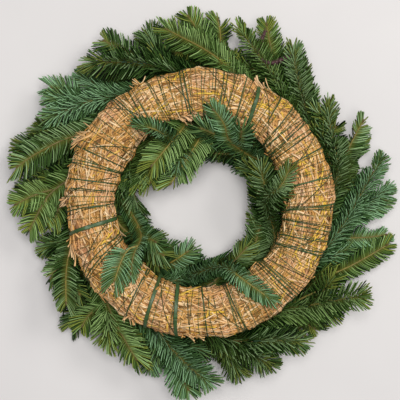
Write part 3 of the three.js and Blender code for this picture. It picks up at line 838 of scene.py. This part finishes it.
def settle(centre, tuft_room, outline_room):
    """Bends strands' lines off the floor, out of the straw and out of the hole; False marks hopeless ones."""
    angle, turn, lift = straw_place(centre)
    deep = (lift < DEEPEST).any(axis=1)
    pushed = straw_point(angle, turn, np.maximum(lift, STRAW_GAP))
    centre = np.where((lift < STRAW_GAP)[..., None], pushed, centre)
    height = centre[..., 2]
    raised = FLOOR_GAP + FLOOR_GIVE * np.exp(np.minimum(height, NEAR_FLOOR) - NEAR_FLOOR)
    centre[..., 2] = np.where(height < NEAR_FLOOR, raised, height)
    tips = centre[:, -1]
    out, inside = past_outline(tips)
    past = np.maximum(np.maximum(out - outline_room, inside - HOLE_ROOM_SHARE * outline_room), 0)
    past = np.maximum(past, np.maximum(depth_in(NOTCHES, tips), past_box(tips)))
    past = past + np.maximum(over_straw(tips) - tuft_room, 0)
    shrink = np.clip(1 - past / NEEDLE_LENGTH, 0, 1)
    centre = centre[:, :1] + (centre - centre[:, :1]) * shrink[:, None, None]
    return centre, ~deep & (shrink > LEAST_SHARE) & (centre[..., 2].max(axis=1) < HIGHEST + 1)


def settled(batches):
    """The lines, blade normals and tones of a sprig's needles, once those with no room are gone."""
    centre, face, tones, tuft_room, outline_room = (np.concatenate(parts) for parts in zip(*batches))
    centre, fine = settle(centre, tuft_room, outline_room)
    return centre[fine], face[fine], tones[fine]


def blades(centre, face, tones, width):
    """Sweeps all of a sprig's needles in one go."""
    ups = np.repeat(face[:, None], len(NEEDLE_STATIONS), axis=1)
    half = np.repeat(NEEDLE_WIDTHS[None], len(centre), axis=0)
    return sweep(centre, ups, half * width / 2, half * NEEDLE_THICKNESS / 2, tones, 3, pointed=True)


print("needles bend away within", STRAW_GAP, "mm of the straw and", NEAR_FLOOR, "mm of the floor")

# %% [markdown]
# ## Growing a sprig
#
# Side twigs leave the main one in turn to its two sides, at about forty degrees, and get shorter
# towards its tip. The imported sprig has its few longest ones, and the rest are grown here wherever they
# have room. The twig itself is a tapering tube, from the cut butt tied to the straw to the bud.

# %% Side twigs that still have room
MIDDLE_REACH = 178.0
FIRST_FORK = 30.0
LAST_FORK = 22
FORK_GAP = (12, 19)
FORK_LEAN = (32, 46)
FORK_DROP = (-0.55, -0.1)
LONGEST_SIDE = 58
SHORTEST_SIDE = 20
# How often a side twig is tried, and how much shorter each time
SIDE_TRIES = 4
SHORTER = 0.78
# Least gaps of a side twig, in mm: from the straw, the outline, the hole, the floor and the highest needle
SIDE_GAPS = {"straw": 1.5, "outline": 6, "hole": 4, "floor": 5, "top": 8}


def has_room(twig):
    out, inside = past_outline(twig[-1:])
    room = out[0] < -SIDE_GAPS["outline"] and inside[0] < -SIDE_GAPS["hole"]
    room = room and round_middle(twig[-1])[1] < MIDDLE_REACH
    room = room and (straw_place(twig[2:])[2] > SIDE_GAPS["straw"]).all() and (over_straw(twig) == 0).all()
    room = room and depth_in(NOTCHES, twig[-3:]).max() == 0
    return room and twig[:, 2].min() > SIDE_GAPS["floor"] and twig[:, 2].max() < HIGHEST - SIDE_GAPS["top"]


def side_twigs(line, brush, rng):
    travelled = travelled_along(line)
    slopes = unit(np.gradient(line, axis=0))
    t = np.linspace(0, 1, 9)[:, None]
    grown = []
    at = FIRST_FORK + rng.uniform(0, 8)
    hand = rng.choice([-1, 1])
    while at < travelled[-1] - LAST_FORK:
        i = int(np.searchsorted(travelled, at))
        ahead = slopes[i]
        over = unit(brush - ahead * (ahead @ brush))
        side = np.cross(ahead, over) * hand
        lean = math.radians(rng.uniform(*FORK_LEAN))
        drop = np.array([0, 0, rng.uniform(*FORK_DROP)])
        aim = unit(math.cos(lean) * ahead + math.sin(lean) * side + drop)
        length = min(0.5 * (travelled[-1] - at) + 12, LONGEST_SIDE) * rng.uniform(0.8, 1.1)
        for _ in range(SIDE_TRIES):
            twig = line[i] + aim * length * t + (ahead * 0.12 * length + rng.normal(0, 0.8, 3)) * t**2
            if has_room(twig):
                grown.append(twig)
                break
            length *= SHORTER
            if length < SHORTEST_SIDE:
                break
        at += rng.uniform(*FORK_GAP)
        hand = -hand
    return grown


print("side twigs lean by", FORK_LEAN, "degrees and leave every", FORK_GAP, "mm")

# %% Twig bark as tubes
BARE_BUTT = 30.0
BARK_RADII = (2.3, 2.1, 1.2, 0.7)
SIDE_RADIUS = 1.0


def bark_tube(line, main, tone):
    travelled = travelled_along(line)
    if main:
        radii = np.interp(travelled, [0, BARE_BUTT - 8, BARE_BUTT + 8, travelled[-1]], BARK_RADII)
    else:
        radii = np.linspace(SIDE_RADIUS, BARK_RADII[-1], len(line))
    line = np.column_stack([line[:, :2], np.maximum(line[:, 2], radii)])
    slopes = unit(np.gradient(line, axis=0))
    up = np.cross(slopes, np.cross([0.3, 0.2, 1.0], slopes))
    return tube(line, up, radii, tone, 6)


print("bark radii from butt to bud:", BARK_RADII, "mm")

# %% Buds, and bare twigs with the stubs of their needles
BUD_RADIUS = 1.5
BUD_STATIONS = np.array([-2.5, -1.3, 0.0, 1.3, 2.3])
STUB_WIDTH = 1.6
STUB_LENGTH = 3.6
BARE_RADIUS = 1.3
STUB_BUMPS = 0.3
CUT_BUMPS = 0.06


def bud(line, tone):
    """A small pointed bud at a twig's tip."""
    ahead = unit(line[-1] - line[-2])
    stations = line[-1] + ahead * BUD_STATIONS[:, None]
    stations[:, 2] = np.maximum(stations[:, 2], BUD_RADIUS)
    radii = np.array([BARK_RADII[-1], 0.8 * BUD_RADIUS, BUD_RADIUS, 0.6 * BUD_RADIUS, 0.0])
    up = np.repeat(np.cross(ahead, [0.3, 0.9, 0.2])[None], len(stations), axis=0)
    return tube(stations, up, radii, tone, 6, pointed=True)


def bare_twig(line, tone):
    """A twig with only the stubs of its needles left, or a clean cut end where its tone is a plain one."""
    line = even_line(line, 1.5)[0]
    bumps = STUB_BUMPS if tone == ODD_TONE else CUT_BUMPS
    knobbly = BARE_RADIUS + bumps + bumps * np.sin(np.arange(len(line)) * 2.1)
    radii = knobbly - 0.5 * np.linspace(0, 1, len(line))
    up = np.repeat(np.array([[0.1, 0.2, 1.0]]), len(line), axis=0)
    stem = tube(line, up, radii, tone, 7)
    if tone == CUT_TONE:
        return [stem]
    rng = np.random.default_rng(19)
    centre, face, *_ = needles_on(line, np.array([0, 0, 1.0]), 6.0, 1.1, STUB_LENGTH, tone, True, rng)
    return [stem, blades(centre, face, np.full(len(centre), tone), STUB_WIDTH)]


print("bud", 2 * BUD_RADIUS, "mm thick, stubs", STUB_LENGTH, "mm long")

# %% Grow every sprig
NEEDLES_PER_MM = {"main": 2.9, "fork": 2.9, "filling": 2.2, "by eye": 2.6}
FIRST_NEEDLE = {"main": 18.0, "fork": 4.0, "filling": 3.0, "by eye": 14.0}
INNER_DENSITY = 1.18
LEAST_TWIG = 25
TWIG_SHOWN = {"outer": 0.6, "inner": 0.35, "front": 0.9}
# Sprigs whose bare twigs the picture shows more or less than that
TWIG_SHOWN_BY_EYE = {
    "outer_sprig_01": 0.2, "outer_sprig_03": 0.15, "outer_sprig_05": 0.9, "outer_sprig_07": 0.1,
    "outer_sprig_08": 0.35, "outer_sprig_13": 0.2,
}


def each_sprig(seed):
    """Every sprig's name, kind and number, with random numbers of its own."""
    for index, name in enumerate(sprig_nodes):
        kind, _, number = name.split("_")
        yield name, kind, int(number), np.random.default_rng(seed + index)


def brush_side(line, share, rng):
    """Which way a twig's needles part: down, so that the bare twig shows to the straw back, or up."""
    ahead = unit(line[-1] - line[0])
    out = np.array([line[-1][0] - RING_X, line[-1][1] - RING_Y, 0])
    shows_twig = rng.uniform() < share
    brush = np.array([0, 0, -1.0 if shows_twig else 1.0]) + unit(out) * rng.normal(0.1, 0.45)
    brush = brush - ahead * (ahead @ brush)
    return unit(brush + rng.normal(0, 0.2, 3))


grown = {}
for name, kind, _, rng in each_sprig(1000):
    share = TWIG_SHOWN_BY_EYE.get(name, TWIG_SHOWN[kind])
    twigs = []
    for i, rings in enumerate(sprigs[name]):
        line, total = even_line(rings)
        if total < LEAST_TWIG:
            continue
        line = line[:-1]
        brush = brush_side(line, share, rng)
        twigs.append((line, brush, "fork" if i else "main"))
        twigs += [(even_line(twig)[0], brush, "filling") for twig in side_twigs(line, brush, rng)]
    twigs += [(even_line(line)[0], np.array([0, 0, -1.0]), "by eye") for line in extra_lines.get(name, [])]
    grown[name] = twigs
print("twigs", sum(len(twigs) for twigs in grown.values()))

# %% Needles of every sprig
# Tone ranges for each kind of sprig, lighter the higher the kind lies: the inner sprigs lie highest and the
# front ones lowest, under the others, so the darker front range is painted shade
SHADES = {"outer": (0.37, 0.61), "inner": (0.47, 0.71), "front": (0.22, 0.46)}
# Painted shade: needles of the filling twigs, which lie under the main ones, get a darker tone
FILLING_PAINTED_SHADE = 0.1
# Sprigs that the picture shows lighter or darker than that
SHADE_BY_EYE = {
    "outer_sprig_01": 0.08, "outer_sprig_02": 0.12, "outer_sprig_03": 0.1, "outer_sprig_05": -0.06,
    "outer_sprig_06": -0.08, "outer_sprig_07": 0.12, "outer_sprig_08": -0.05, "outer_sprig_09": -0.04,
    "outer_sprig_10": -0.14, "outer_sprig_12": 0.14, "front_sprig_09": -0.05, "inner_sprig_01": 0.06,
    "inner_sprig_02": 0.08, "inner_sprig_11": 0.05,
}
LENGTHS = {"main": 1.0, "fork": 1.0, "filling": 0.92, "by eye": 1.1}
RISING_LENGTH = 0.65
SPRIG_LENGTHS = (0.86, 1.14)
# Sprigs whose needles the picture shows shorter or longer
LENGTH_BY_EYE = {
    "outer_sprig_01": 0.76, "outer_sprig_02": 0.82, "outer_sprig_03": 0.86, "outer_sprig_04": 0.84,
    "outer_sprig_08": 1.05, "outer_sprig_09": 1.0, "outer_sprig_14": 1.1, "front_sprig_14": 0.78,
}
needles = {}
for name, kind, _, rng in each_sprig(5000):
    sprig_tone = rng.uniform(*SHADES[kind]) + SHADE_BY_EYE.get(name, 0.0)
    any_length = rng.uniform(*SPRIG_LENGTHS)
    sprig_length = NEEDLE_LENGTH * LENGTH_BY_EYE.get(name, any_length)
    rises = sprigs[name][0][-1][2] > RING_TOP + 5
    batches = []
    for line, brush, part in grown[name]:
        density = NEEDLES_PER_MM[part] * (INNER_DENSITY if kind == "inner" else 1.0)
        # Filling twigs get a painted shade
        tone = sprig_tone + rng.normal(0, 0.06) - (FILLING_PAINTED_SHADE if part == "filling" else 0.0)
        length = sprig_length * (RISING_LENGTH if rises and part == "main" else LENGTHS[part])
        free = part == "by eye"
        batches.append(needles_on(line, brush, FIRST_NEEDLE[part], density, length, tone, free, rng))
    needles[name] = settled(batches)
print("needles", sum(len(centre) for centre, _, _ in needles.values()))

# %% [markdown]
# Needles that lie deep between others get painted shade: their tone is darkened where little light gets to
# them. How deep one lies is counted in small square columns: how many needles lie over it and how many under
# it.
# Those against the straw's sides get painted shade as well, so a dark line runs along the ring's edges.

# %% Painted shade on needles deep inside and against the straw
CELL = 6.0
BURIED_BY_NEEDLE = 0.3
BURIED_PAINTED_SHADE = 0.74
AGAINST_STRAW = 6.0
AGAINST_SHARE = 0.85
BELOW_BACK = 12
middles = np.concatenate([centre[:, 1:3].mean(axis=1) for centre, _, _ in needles.values()])
cells = ((middles - middles.min(axis=0)) / CELL).astype(int) + 1
crowd = np.zeros(cells.max(axis=0) + 2)
np.add.at(crowd, tuple(cells.T), 1.0)
for axis in (0, 1):
    crowd = (np.roll(crowd, 1, axis) + crowd + np.roll(crowd, -1, axis)) / 3
below = np.cumsum(crowd, axis=2) - crowd
above = crowd.sum(axis=2, keepdims=True) - below - crowd
hidden = 1 - np.exp(-BURIED_BY_NEEDLE * np.minimum(above, below)[tuple(cells.T)])
# Painted shade along the straw's sides: needles close to them are darkened
against = np.exp(-np.maximum(straw_place(middles)[2], 0) / AGAINST_STRAW)
against = against * (middles[:, 2] < RING_TOP - BELOW_BACK)
hidden = 1 - (1 - hidden) * (1 - AGAINST_SHARE * against)
start = 0
for name, (centre, face, tones) in needles.items():
    here = hidden[start : start + len(tones)]
    # Painted shade: the tone is darkened by how hidden a needle is
    shaded = np.clip(tones - BURIED_PAINTED_SHADE * here, 0, LIGHTEST)
    needles[name] = (centre, face, np.where((tones == ODD_TONE) & (here < 0.6), tones, shaded))
    start += len(tones)
print("share of needles more than half hidden", round(float((hidden > 0.5).mean()), 2))

# %% Which finish each sprig has, and one piece for each sprig
SPRIG_FINISHES = {
    "outer": "blue deep deep fresh fresh deep blue deep fresh deep fresh blue deep fresh",
    "inner": "deep deep blue deep blue fresh fresh deep blue deep blue blue deep deep",
    "front": "deep deep fresh deep deep deep blue deep fresh deep deep deep fresh fresh",
}
YOUNG_BARK = 0.84
OLD_BARK = 0.3
sprig_triangles = 0
for name, kind, number, rng in each_sprig(7000):
    needle = NEEDLE_FINISHES[SPRIG_FINISHES[kind].split()[number - 1]]
    wood = []
    for line, _, part in grown[name]:
        tone = YOUNG_BARK if part == "by eye" else rng.uniform(OLD_BARK, YOUNG_BARK)
        wood += [bark_tube(line, part == "main", tone), bud(line, rng.uniform(0.1, 0.4))]
    for line, tone in bare_lines.get(name, []):
        wood += bare_twig(line, tone)
    groups = [(needle, blades(*needles[name], NEEDLE_WIDTH[kind]))] + [(bark, swept) for swept in wood]
    sprig_triangles += add_piece(name + "_needles", groups, [name], smooth=False)
print("sprig triangles", sprig_triangles)

# %% [markdown]
# ## Windings
#
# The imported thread, twine and film bands are coarse tubes that ride high to clear each other. Their
# routes are read from the rings of those tubes, turned into straw places, and laid again close to
# the straw. Where they pass over the sprigs' butts on the front, they keep their height. The straw ring
# has a fine thread of its own as well, and the twine runs double in places.

# %% The route of a winding, as straw places
RAISED = 5.2


def winding_route(node, nearness):
    centres, _, links, _ = rings_of(node, nearness, spike=math.inf)
    ends = [i for i in links if len(links[i]) == 1]
    way = [ends[0] if ends else 0]
    while True:
        ahead = [i for i in links[way[-1]] if i not in way]
        if not ahead:
            break
        way.append(ahead[0])
    angle, turn, lift = straw_place(centres[way])
    angle, turn = np.unwrap(angle), np.unwrap(turn)
    if ends:
        return angle, turn, lift
    whole = turn[0] + math.copysign(2 * math.pi, turn[-1] - turn[0])
    return np.append(angle, angle[0]), np.append(turn, whole), np.append(lift, lift[0])


def laid(route, height, per_ring, wobble, rng):
    """The same route with finer steps, at the given height wherever it isn't raised over a butt."""
    angle, turn, lift = route
    rings = np.arange(len(angle))
    dense = np.linspace(0, len(angle) - 1, (len(angle) - 1) * per_ring + 1)
    lift = np.interp(dense, rings, np.where(lift < RAISED, height, lift))
    angle = np.interp(dense, rings, angle + rng.normal(0, wobble, len(rings)))
    lift[1:-1] = (lift[:-2] + 2 * lift[1:-1] + lift[2:]) / 4
    return angle[None], np.interp(dense, rings, turn)[None], lift[None]


def turns_of(ends, height, stations, wobble, rng):
    """Single turns from (outside, inside) angles over the back, which start and end unseen on the front."""
    ends = np.radians(np.array(ends))
    turn = np.linspace(-0.55 * math.pi, 1.45 * math.pi, stations)
    share = np.clip(turn / math.pi, 0, 1)
    knots = np.linspace(0, stations - 1, 7)
    waves = [np.interp(np.arange(stations), knots, wave) for wave in rng.normal(0, wobble, (len(ends), 7))]
    angle = ends[:, :1] + (ends[:, 1:] - ends[:, :1]) * share + np.stack(waves)
    return angle, np.repeat(turn[None], len(ends), axis=0), np.full(angle.shape, height)


print("twine", len(winding_route("binding_twine", TWINE_NEARNESS)[0]), "rings")

# %% Routes of the twine, the bands and the threads
TWINE_LIFT = 1.0
BAND_LIFT = 1.3
THREAD_LIFT = 0.75
BANDS = range(1, 5)
# Turns beside the long twine's own: angle at the ring's outside, then at its inside
DOUBLED_TURNS = [
    (122.6, 123.0), (129.6, 124.4), (291.8, 286.4), (314.4, 313.2), (317.4, 316.6), (318.8, 318.2),
    (215.4, 201.2), (213.6, 199.0), (161.4, 157.6), (46.5, 42.0), (37.6, 35.0), (98.9, 96.4),
    (339.4, 332.6), (360.4, 355.4), (184.4, 179.6), (70.0, 66.5), (83.0, 80.5), (33.0, 30.0), (12.0, 10.0),
]
# Degrees between thread turns, close together on the ring's right half and wider on its left
CLOSE_TURNS = (1.0, 2.4)
WIDE_TURNS = (2.4, 5.0)
rng = np.random.default_rng(31)
long_twine = laid(winding_route("binding_twine", TWINE_NEARNESS), TWINE_LIFT, 4, 0.002, rng)
doubled = turns_of(DOUBLED_TURNS, TWINE_LIFT - 0.1, 40, 0.004, rng)
routes = [winding_route("twine_band_%d" % number, BAND_NEARNESS) for number in BANDS]
bands = [laid(route, BAND_LIFT, 6, 0.0, rng) for route in routes]
long_thread = laid(winding_route("straw_thread", THREAD_NEARNESS), THREAD_LIFT, 3, 0.004, rng)
thread_ends = []
at = 0.0
while at < 360:
    thread_ends.append((at, at - rng.uniform(-1.0, 3.5)))
    at += rng.uniform(*(CLOSE_TURNS if at < 135 or at > 285 else WIDE_TURNS))
threads = turns_of(thread_ends, THREAD_LIFT, 32, 0.008, rng)
print("doubled turns", len(DOUBLED_TURNS), "thread turns", len(thread_ends))

# %% Windings as film and thread
TWINE_HALF_WIDTH = 0.8
TWINE_HALF_THICKNESS = 0.3
BAND_HALF_WIDTH = 2.1
BAND_HALF_THICKNESS = 0.16
THREAD_HALF = 0.38
BESIDE_WIDTH = 0.85
LONG_THREAD_WIDTH = 1.2


def winding(route, half_width, half_thickness, tones, sides, rng, twist=0.0):
    lines = straw_point(*route)
    ups = straw_point(route[0], route[1], route[2] + 5.0) - lines
    roll = np.cumsum(rng.normal(0, twist, lines.shape[:2]), axis=1)[..., None]
    across = unit(np.cross(np.gradient(lines, axis=1), ups))
    ups = unit(ups) * np.cos(roll) + across * np.sin(roll)
    wide = half_width * rng.uniform(0.88, 1.1, lines.shape[:2])
    return sweep(lines, ups, wide, np.full(lines.shape[:2], half_thickness), tones, sides)


rng = np.random.default_rng(32)
swept = winding(long_twine, TWINE_HALF_WIDTH, TWINE_HALF_THICKNESS, np.array([0.35]), 6, rng, twist=0.2)
tones = rng.uniform(0.1, 0.6, len(DOUBLED_TURNS))
beside = winding(doubled, TWINE_HALF_WIDTH * BESIDE_WIDTH, TWINE_HALF_THICKNESS, tones, 6, rng, twist=0.1)
twine_triangles = add_piece("binding_twine_film", [(film, swept), (film, beside)], ["binding_twine"])
for number, band in zip(BANDS, bands):
    swept = winding(band, BAND_HALF_WIDTH, BAND_HALF_THICKNESS, np.array([0.5]), 8, rng)
    add_piece("twine_band_%d_film" % number, [(film, swept)], ["twine_band_%d" % number])
odd = chance(0.5, len(thread_ends), rng)
tones = np.where(odd, ODD_TONE, rng.uniform(0.2, 0.84, len(thread_ends)))
fine = winding(threads, THREAD_HALF, THREAD_HALF, tones, 4, rng)
half = THREAD_HALF * LONG_THREAD_WIDTH
swept = winding(long_thread, half, half, np.array([0.1]), 4, rng)
thread_triangles = add_piece("straw_thread_fine", [(film, fine), (film, swept)], ["straw_thread"])
print("twine triangles", twine_triangles, "thread triangles", thread_triangles)

# %% [markdown]
# ## The straw ring
#
# A straw ring is a packed core with thousands of split stalks lying round it, many of them along
# the ring and many across. The core is one closed lumpy ring in the darkest straw tone, a painted shade
# for the gaps between the stalks, and each stalk is a flattened tube that follows the ring's surface at
# its own slant. A map of the windings, in straw places, says where the stalks are pressed down, so that
# the straw swells a little between the turns.

# %% Core of the ring
CORE_SINK = 2.4
CORE_STATIONS = 96
CORE_SIDES = 28


def ring_core():
    angle = np.linspace(0, 2 * math.pi, CORE_STATIONS, endpoint=False)[:, None]
    turn = np.linspace(0, 2 * math.pi, CORE_SIDES, endpoint=False)[None]
    lump = 0.6 * np.sin(7 * angle + 2 * turn) + 0.5 * np.sin(13 * angle - 3 * turn)
    points = straw_point(angle + 0 * turn, turn + 0 * angle, lump - CORE_SINK).reshape(-1, 3)
    i, j = np.meshgrid(np.arange(CORE_STATIONS), np.arange(CORE_SIDES), indexing="ij")
    i2, j2 = (i + 1) % CORE_STATIONS, (j + 1) % CORE_SIDES
    quads = np.stack([i * CORE_SIDES + j, i2 * CORE_SIDES + j, i2 * CORE_SIDES + j2, i * CORE_SIDES + j2], -1)
    quads = quads.reshape(-1, 4)
    marks = {
        "along": np.repeat(angle.ravel() * RING_RADIUS, CORE_SIDES),
        "around": np.tile(turn.ravel() * 8, CORE_STATIONS),
        "side": np.zeros(len(points)),
        # The core takes the darkest straw tone, a painted shade for the gaps between the stalks
        "tone": np.zeros(len(points)),
        "facing": np.zeros(len(quads)),
    }
    return points, [quads], marks


core = ring_core()
print("core corners", len(core[0]))

# %% Where the windings press
MAP_ANGLES = 1440
MAP_TURNS = 72
PRESS_WIDTH = 4


def map_cells(angle, turn):
    places = ((angle, MAP_ANGLES), (turn, MAP_TURNS))
    return tuple((place / (2 * math.pi) % 1 * cells).astype(int) % cells for place, cells in places)


pressed = np.zeros((MAP_ANGLES, MAP_TURNS))
for angle, turn, _ in [long_twine, doubled, threads, long_thread] + bands:
    stations = np.arange(angle.shape[1])
    steps = np.arange(0, angle.shape[1] - 1, 0.125)
    for one_angle, one_turn in zip(angle, turn):
        pressed[map_cells(np.interp(steps, stations, one_angle), np.interp(steps, stations, one_turn))] = 1.0
for _ in range(PRESS_WIDTH):
    pressed = np.maximum(pressed, 0.8 * np.maximum(np.roll(pressed, 1, axis=0), np.roll(pressed, -1, axis=0)))
print("share of the straw that is pressed", round(float((pressed > 0.5).mean()), 2))

# %% Stalks that follow the ring
STALKS = 4600
STALK_STATIONS = 5
STALK_LENGTHS = (12, 42)
STALK_HALF_WIDTHS = (0.6, 1.5)
STALK_LAYERS = (-1.9, 0.9)
PRESSED_LAYER = -0.6
# Shares of the stalks that are gathered on the back, and that lie along the ring
BACK_SHARE = 0.4
ALONG_SHARE = 0.55
LOOSE_LIFTS = (1.0, 4.8)
LOOSE_SHARE = 0.1
EDGE_LOOSE_SHARE = 0.32
YELLOW_IN_SPOTS = 0.55
YELLOW_ELSEWHERE = 0.04
# Where yellow stalks gather: pixels across and down, and radius in pixels
YELLOW_SPOTS = [
    (306, 160, 7), (316, 147, 9), (318, 185, 8), (325, 205, 6), (320, 235, 8), (319, 255, 9), (302, 273, 9),
    (285, 294, 6), (280, 265, 6), (215, 100, 8), (242, 95, 8), (265, 106, 7), (282, 104, 6), (227, 78, 6),
    (175, 75, 6), (160, 110, 6), (117, 148, 8), (112, 233, 7), (106, 272, 7), (87, 266, 6), (118, 297, 5),
    (190, 296, 7), (214, 312, 9), (252, 312, 6),
]


def stalks(count, rng):
    """Lines, ups, half widths, half thicknesses and tones of stalks all over the ring."""
    angle = rng.uniform(0, 2 * math.pi, count)
    turn = rng.uniform(-math.pi, math.pi, count)
    turn = np.where(chance(BACK_SHARE, count, rng), rng.normal(1.5, 0.9, count), turn)
    long = rng.uniform(*STALK_LENGTHS, count)
    along_ring = chance(ALONG_SHARE, count, rng)
    slant = np.where(along_ring, rng.normal(0, 0.3, count), rng.uniform(-1.4, 1.4, count))
    t = np.linspace(-0.5, 0.5, STALK_STATIONS)[None]
    radius = RING_RADIUS + section_radius(turn) * np.cos(turn)
    angles = angle[:, None] + (long * np.cos(slant) / radius)[:, None] * t
    turns = turn[:, None] + (long * np.sin(slant) / section_radius(turn))[:, None] * t
    layer = rng.uniform(*STALK_LAYERS, count)[:, None]
    share = LOOSE_SHARE + EDGE_LOOSE_SHARE * np.cos(turn) ** 4
    loose = np.where(chance(share, count, rng), rng.uniform(*LOOSE_LIFTS, count), 0.1)[:, None]
    lifts = layer + rng.normal(0, 0.25, (count, STALK_STATIONS))
    hold = pressed[map_cells(angles, turns)]
    lifts = lifts * (1 - hold) + np.minimum(lifts, PRESSED_LAYER) * hold + loose * (1 - hold) * (t + 0.5) ** 3
    lines = straw_point(angles, turns, lifts)
    ups = straw_point(angles, turns, 10.0) - straw_point(angles, turns, 0.0)
    ups = ups + rng.normal(0, 3.5, (count, 1, 3))
    wide = rng.uniform(*STALK_HALF_WIDTHS, count)[:, None] * np.ones(STALK_STATIONS)
    spotted = depth_in(YELLOW_SPOTS, lines[:, STALK_STATIONS // 2]) > 0
    yellow = chance(np.where(spotted, YELLOW_IN_SPOTS, YELLOW_ELSEWHERE), count, rng)
    tones = np.where(yellow, ODD_TONE, np.clip(rng.normal(0.52, 0.24, count), 0.02, 0.84))
    return lines, ups, wide, wide * rng.uniform(0.3, 0.5, count)[:, None], tones


rng = np.random.default_rng(77)
swept = sweep(*stalks(STALKS, rng), 4)
print("stalks", STALKS)

# %% Broken ends that stick out: angle round the ring, angle round the section, length and heading
BROKEN_ENDS = [
    (147, 35, 20, 60), (150, 20, 16, 75), (197, 20, 16, -40), (95, 150, 14, 200), (266, 25, 14, -60),
    (117, 20, 10, 80), (101, 150, 12, 215), (62, 30, 10, -30), (178, 15, 9, 60), (238, 25, 10, -70),
]
ENDS_EACH = 8


def broken_ends(rng):
    places = np.repeat(np.array(BROKEN_ENDS, float), ENDS_EACH, axis=0)
    count = len(places)
    angle = np.radians(places[:, 0] + rng.normal(0, 1.6, count))
    turn = np.radians(places[:, 1] + rng.normal(0, 9, count))
    heading = np.radians(places[:, 3] + rng.normal(0, 22, count))
    long = places[:, 2] * rng.uniform(0.6, 1.2, count)
    t = np.linspace(0, 1, STALK_STATIONS)[None]
    angles = angle[:, None] + (long * np.cos(heading) / RING_RADIUS)[:, None] * t
    turns = turn[:, None] - (long * np.sin(heading) / section_radius(turn))[:, None] * t * 0.5
    lines = straw_point(angles, turns, 0.8 + rng.uniform(3.0, 9.0, count)[:, None] * t**1.5)
    ups = np.repeat(rng.normal(0, 1, (count, 1, 3)) + [0, 0, 2.0], STALK_STATIONS, axis=1)
    wide = rng.uniform(0.6, 1.3, count)[:, None] * np.ones(STALK_STATIONS)
    return lines, ups, wide, wide * 0.4, rng.uniform(0.5, 0.84, count)


ends = sweep(*broken_ends(rng), 4)
groups = [(straw, core), (straw, swept), (straw, ends)]
print("straw triangles", add_piece("straw_ring_stalks", groups, ["straw_ring"]))

# %% [markdown]
# ## The floor
#
# The wreath lies on a plain pale floor, which is only the stage. Its finish has a hint of brushed plaster,
# so that the soft light has something to fall on.

# %% The floor
floor_mesh = bpy.data.meshes.new("table")
floor_mesh.from_pydata([(-3, -3, 0), (3, -3, 0), (3, 3, 0), (-3, 3, 0)], [], [(0, 1, 2, 3)])
floor = placed("table", floor_mesh)
floor_finish, tree, surface = new_material("pale_table")
cloudy = grouped(tree, patches, {"Size": 0.25, "Threshold": 0.35, "Softness": 0.4})
pale = mixed(tree, cloudy, (0.722, 0.7, 0.697), (0.762, 0.74, 0.732))
tree.links.new(pale, surface["Base Color"])
surface["Roughness"].default_value = 0.85
floor_mesh.materials.append(floor_finish)
print("stage:", floor.name)
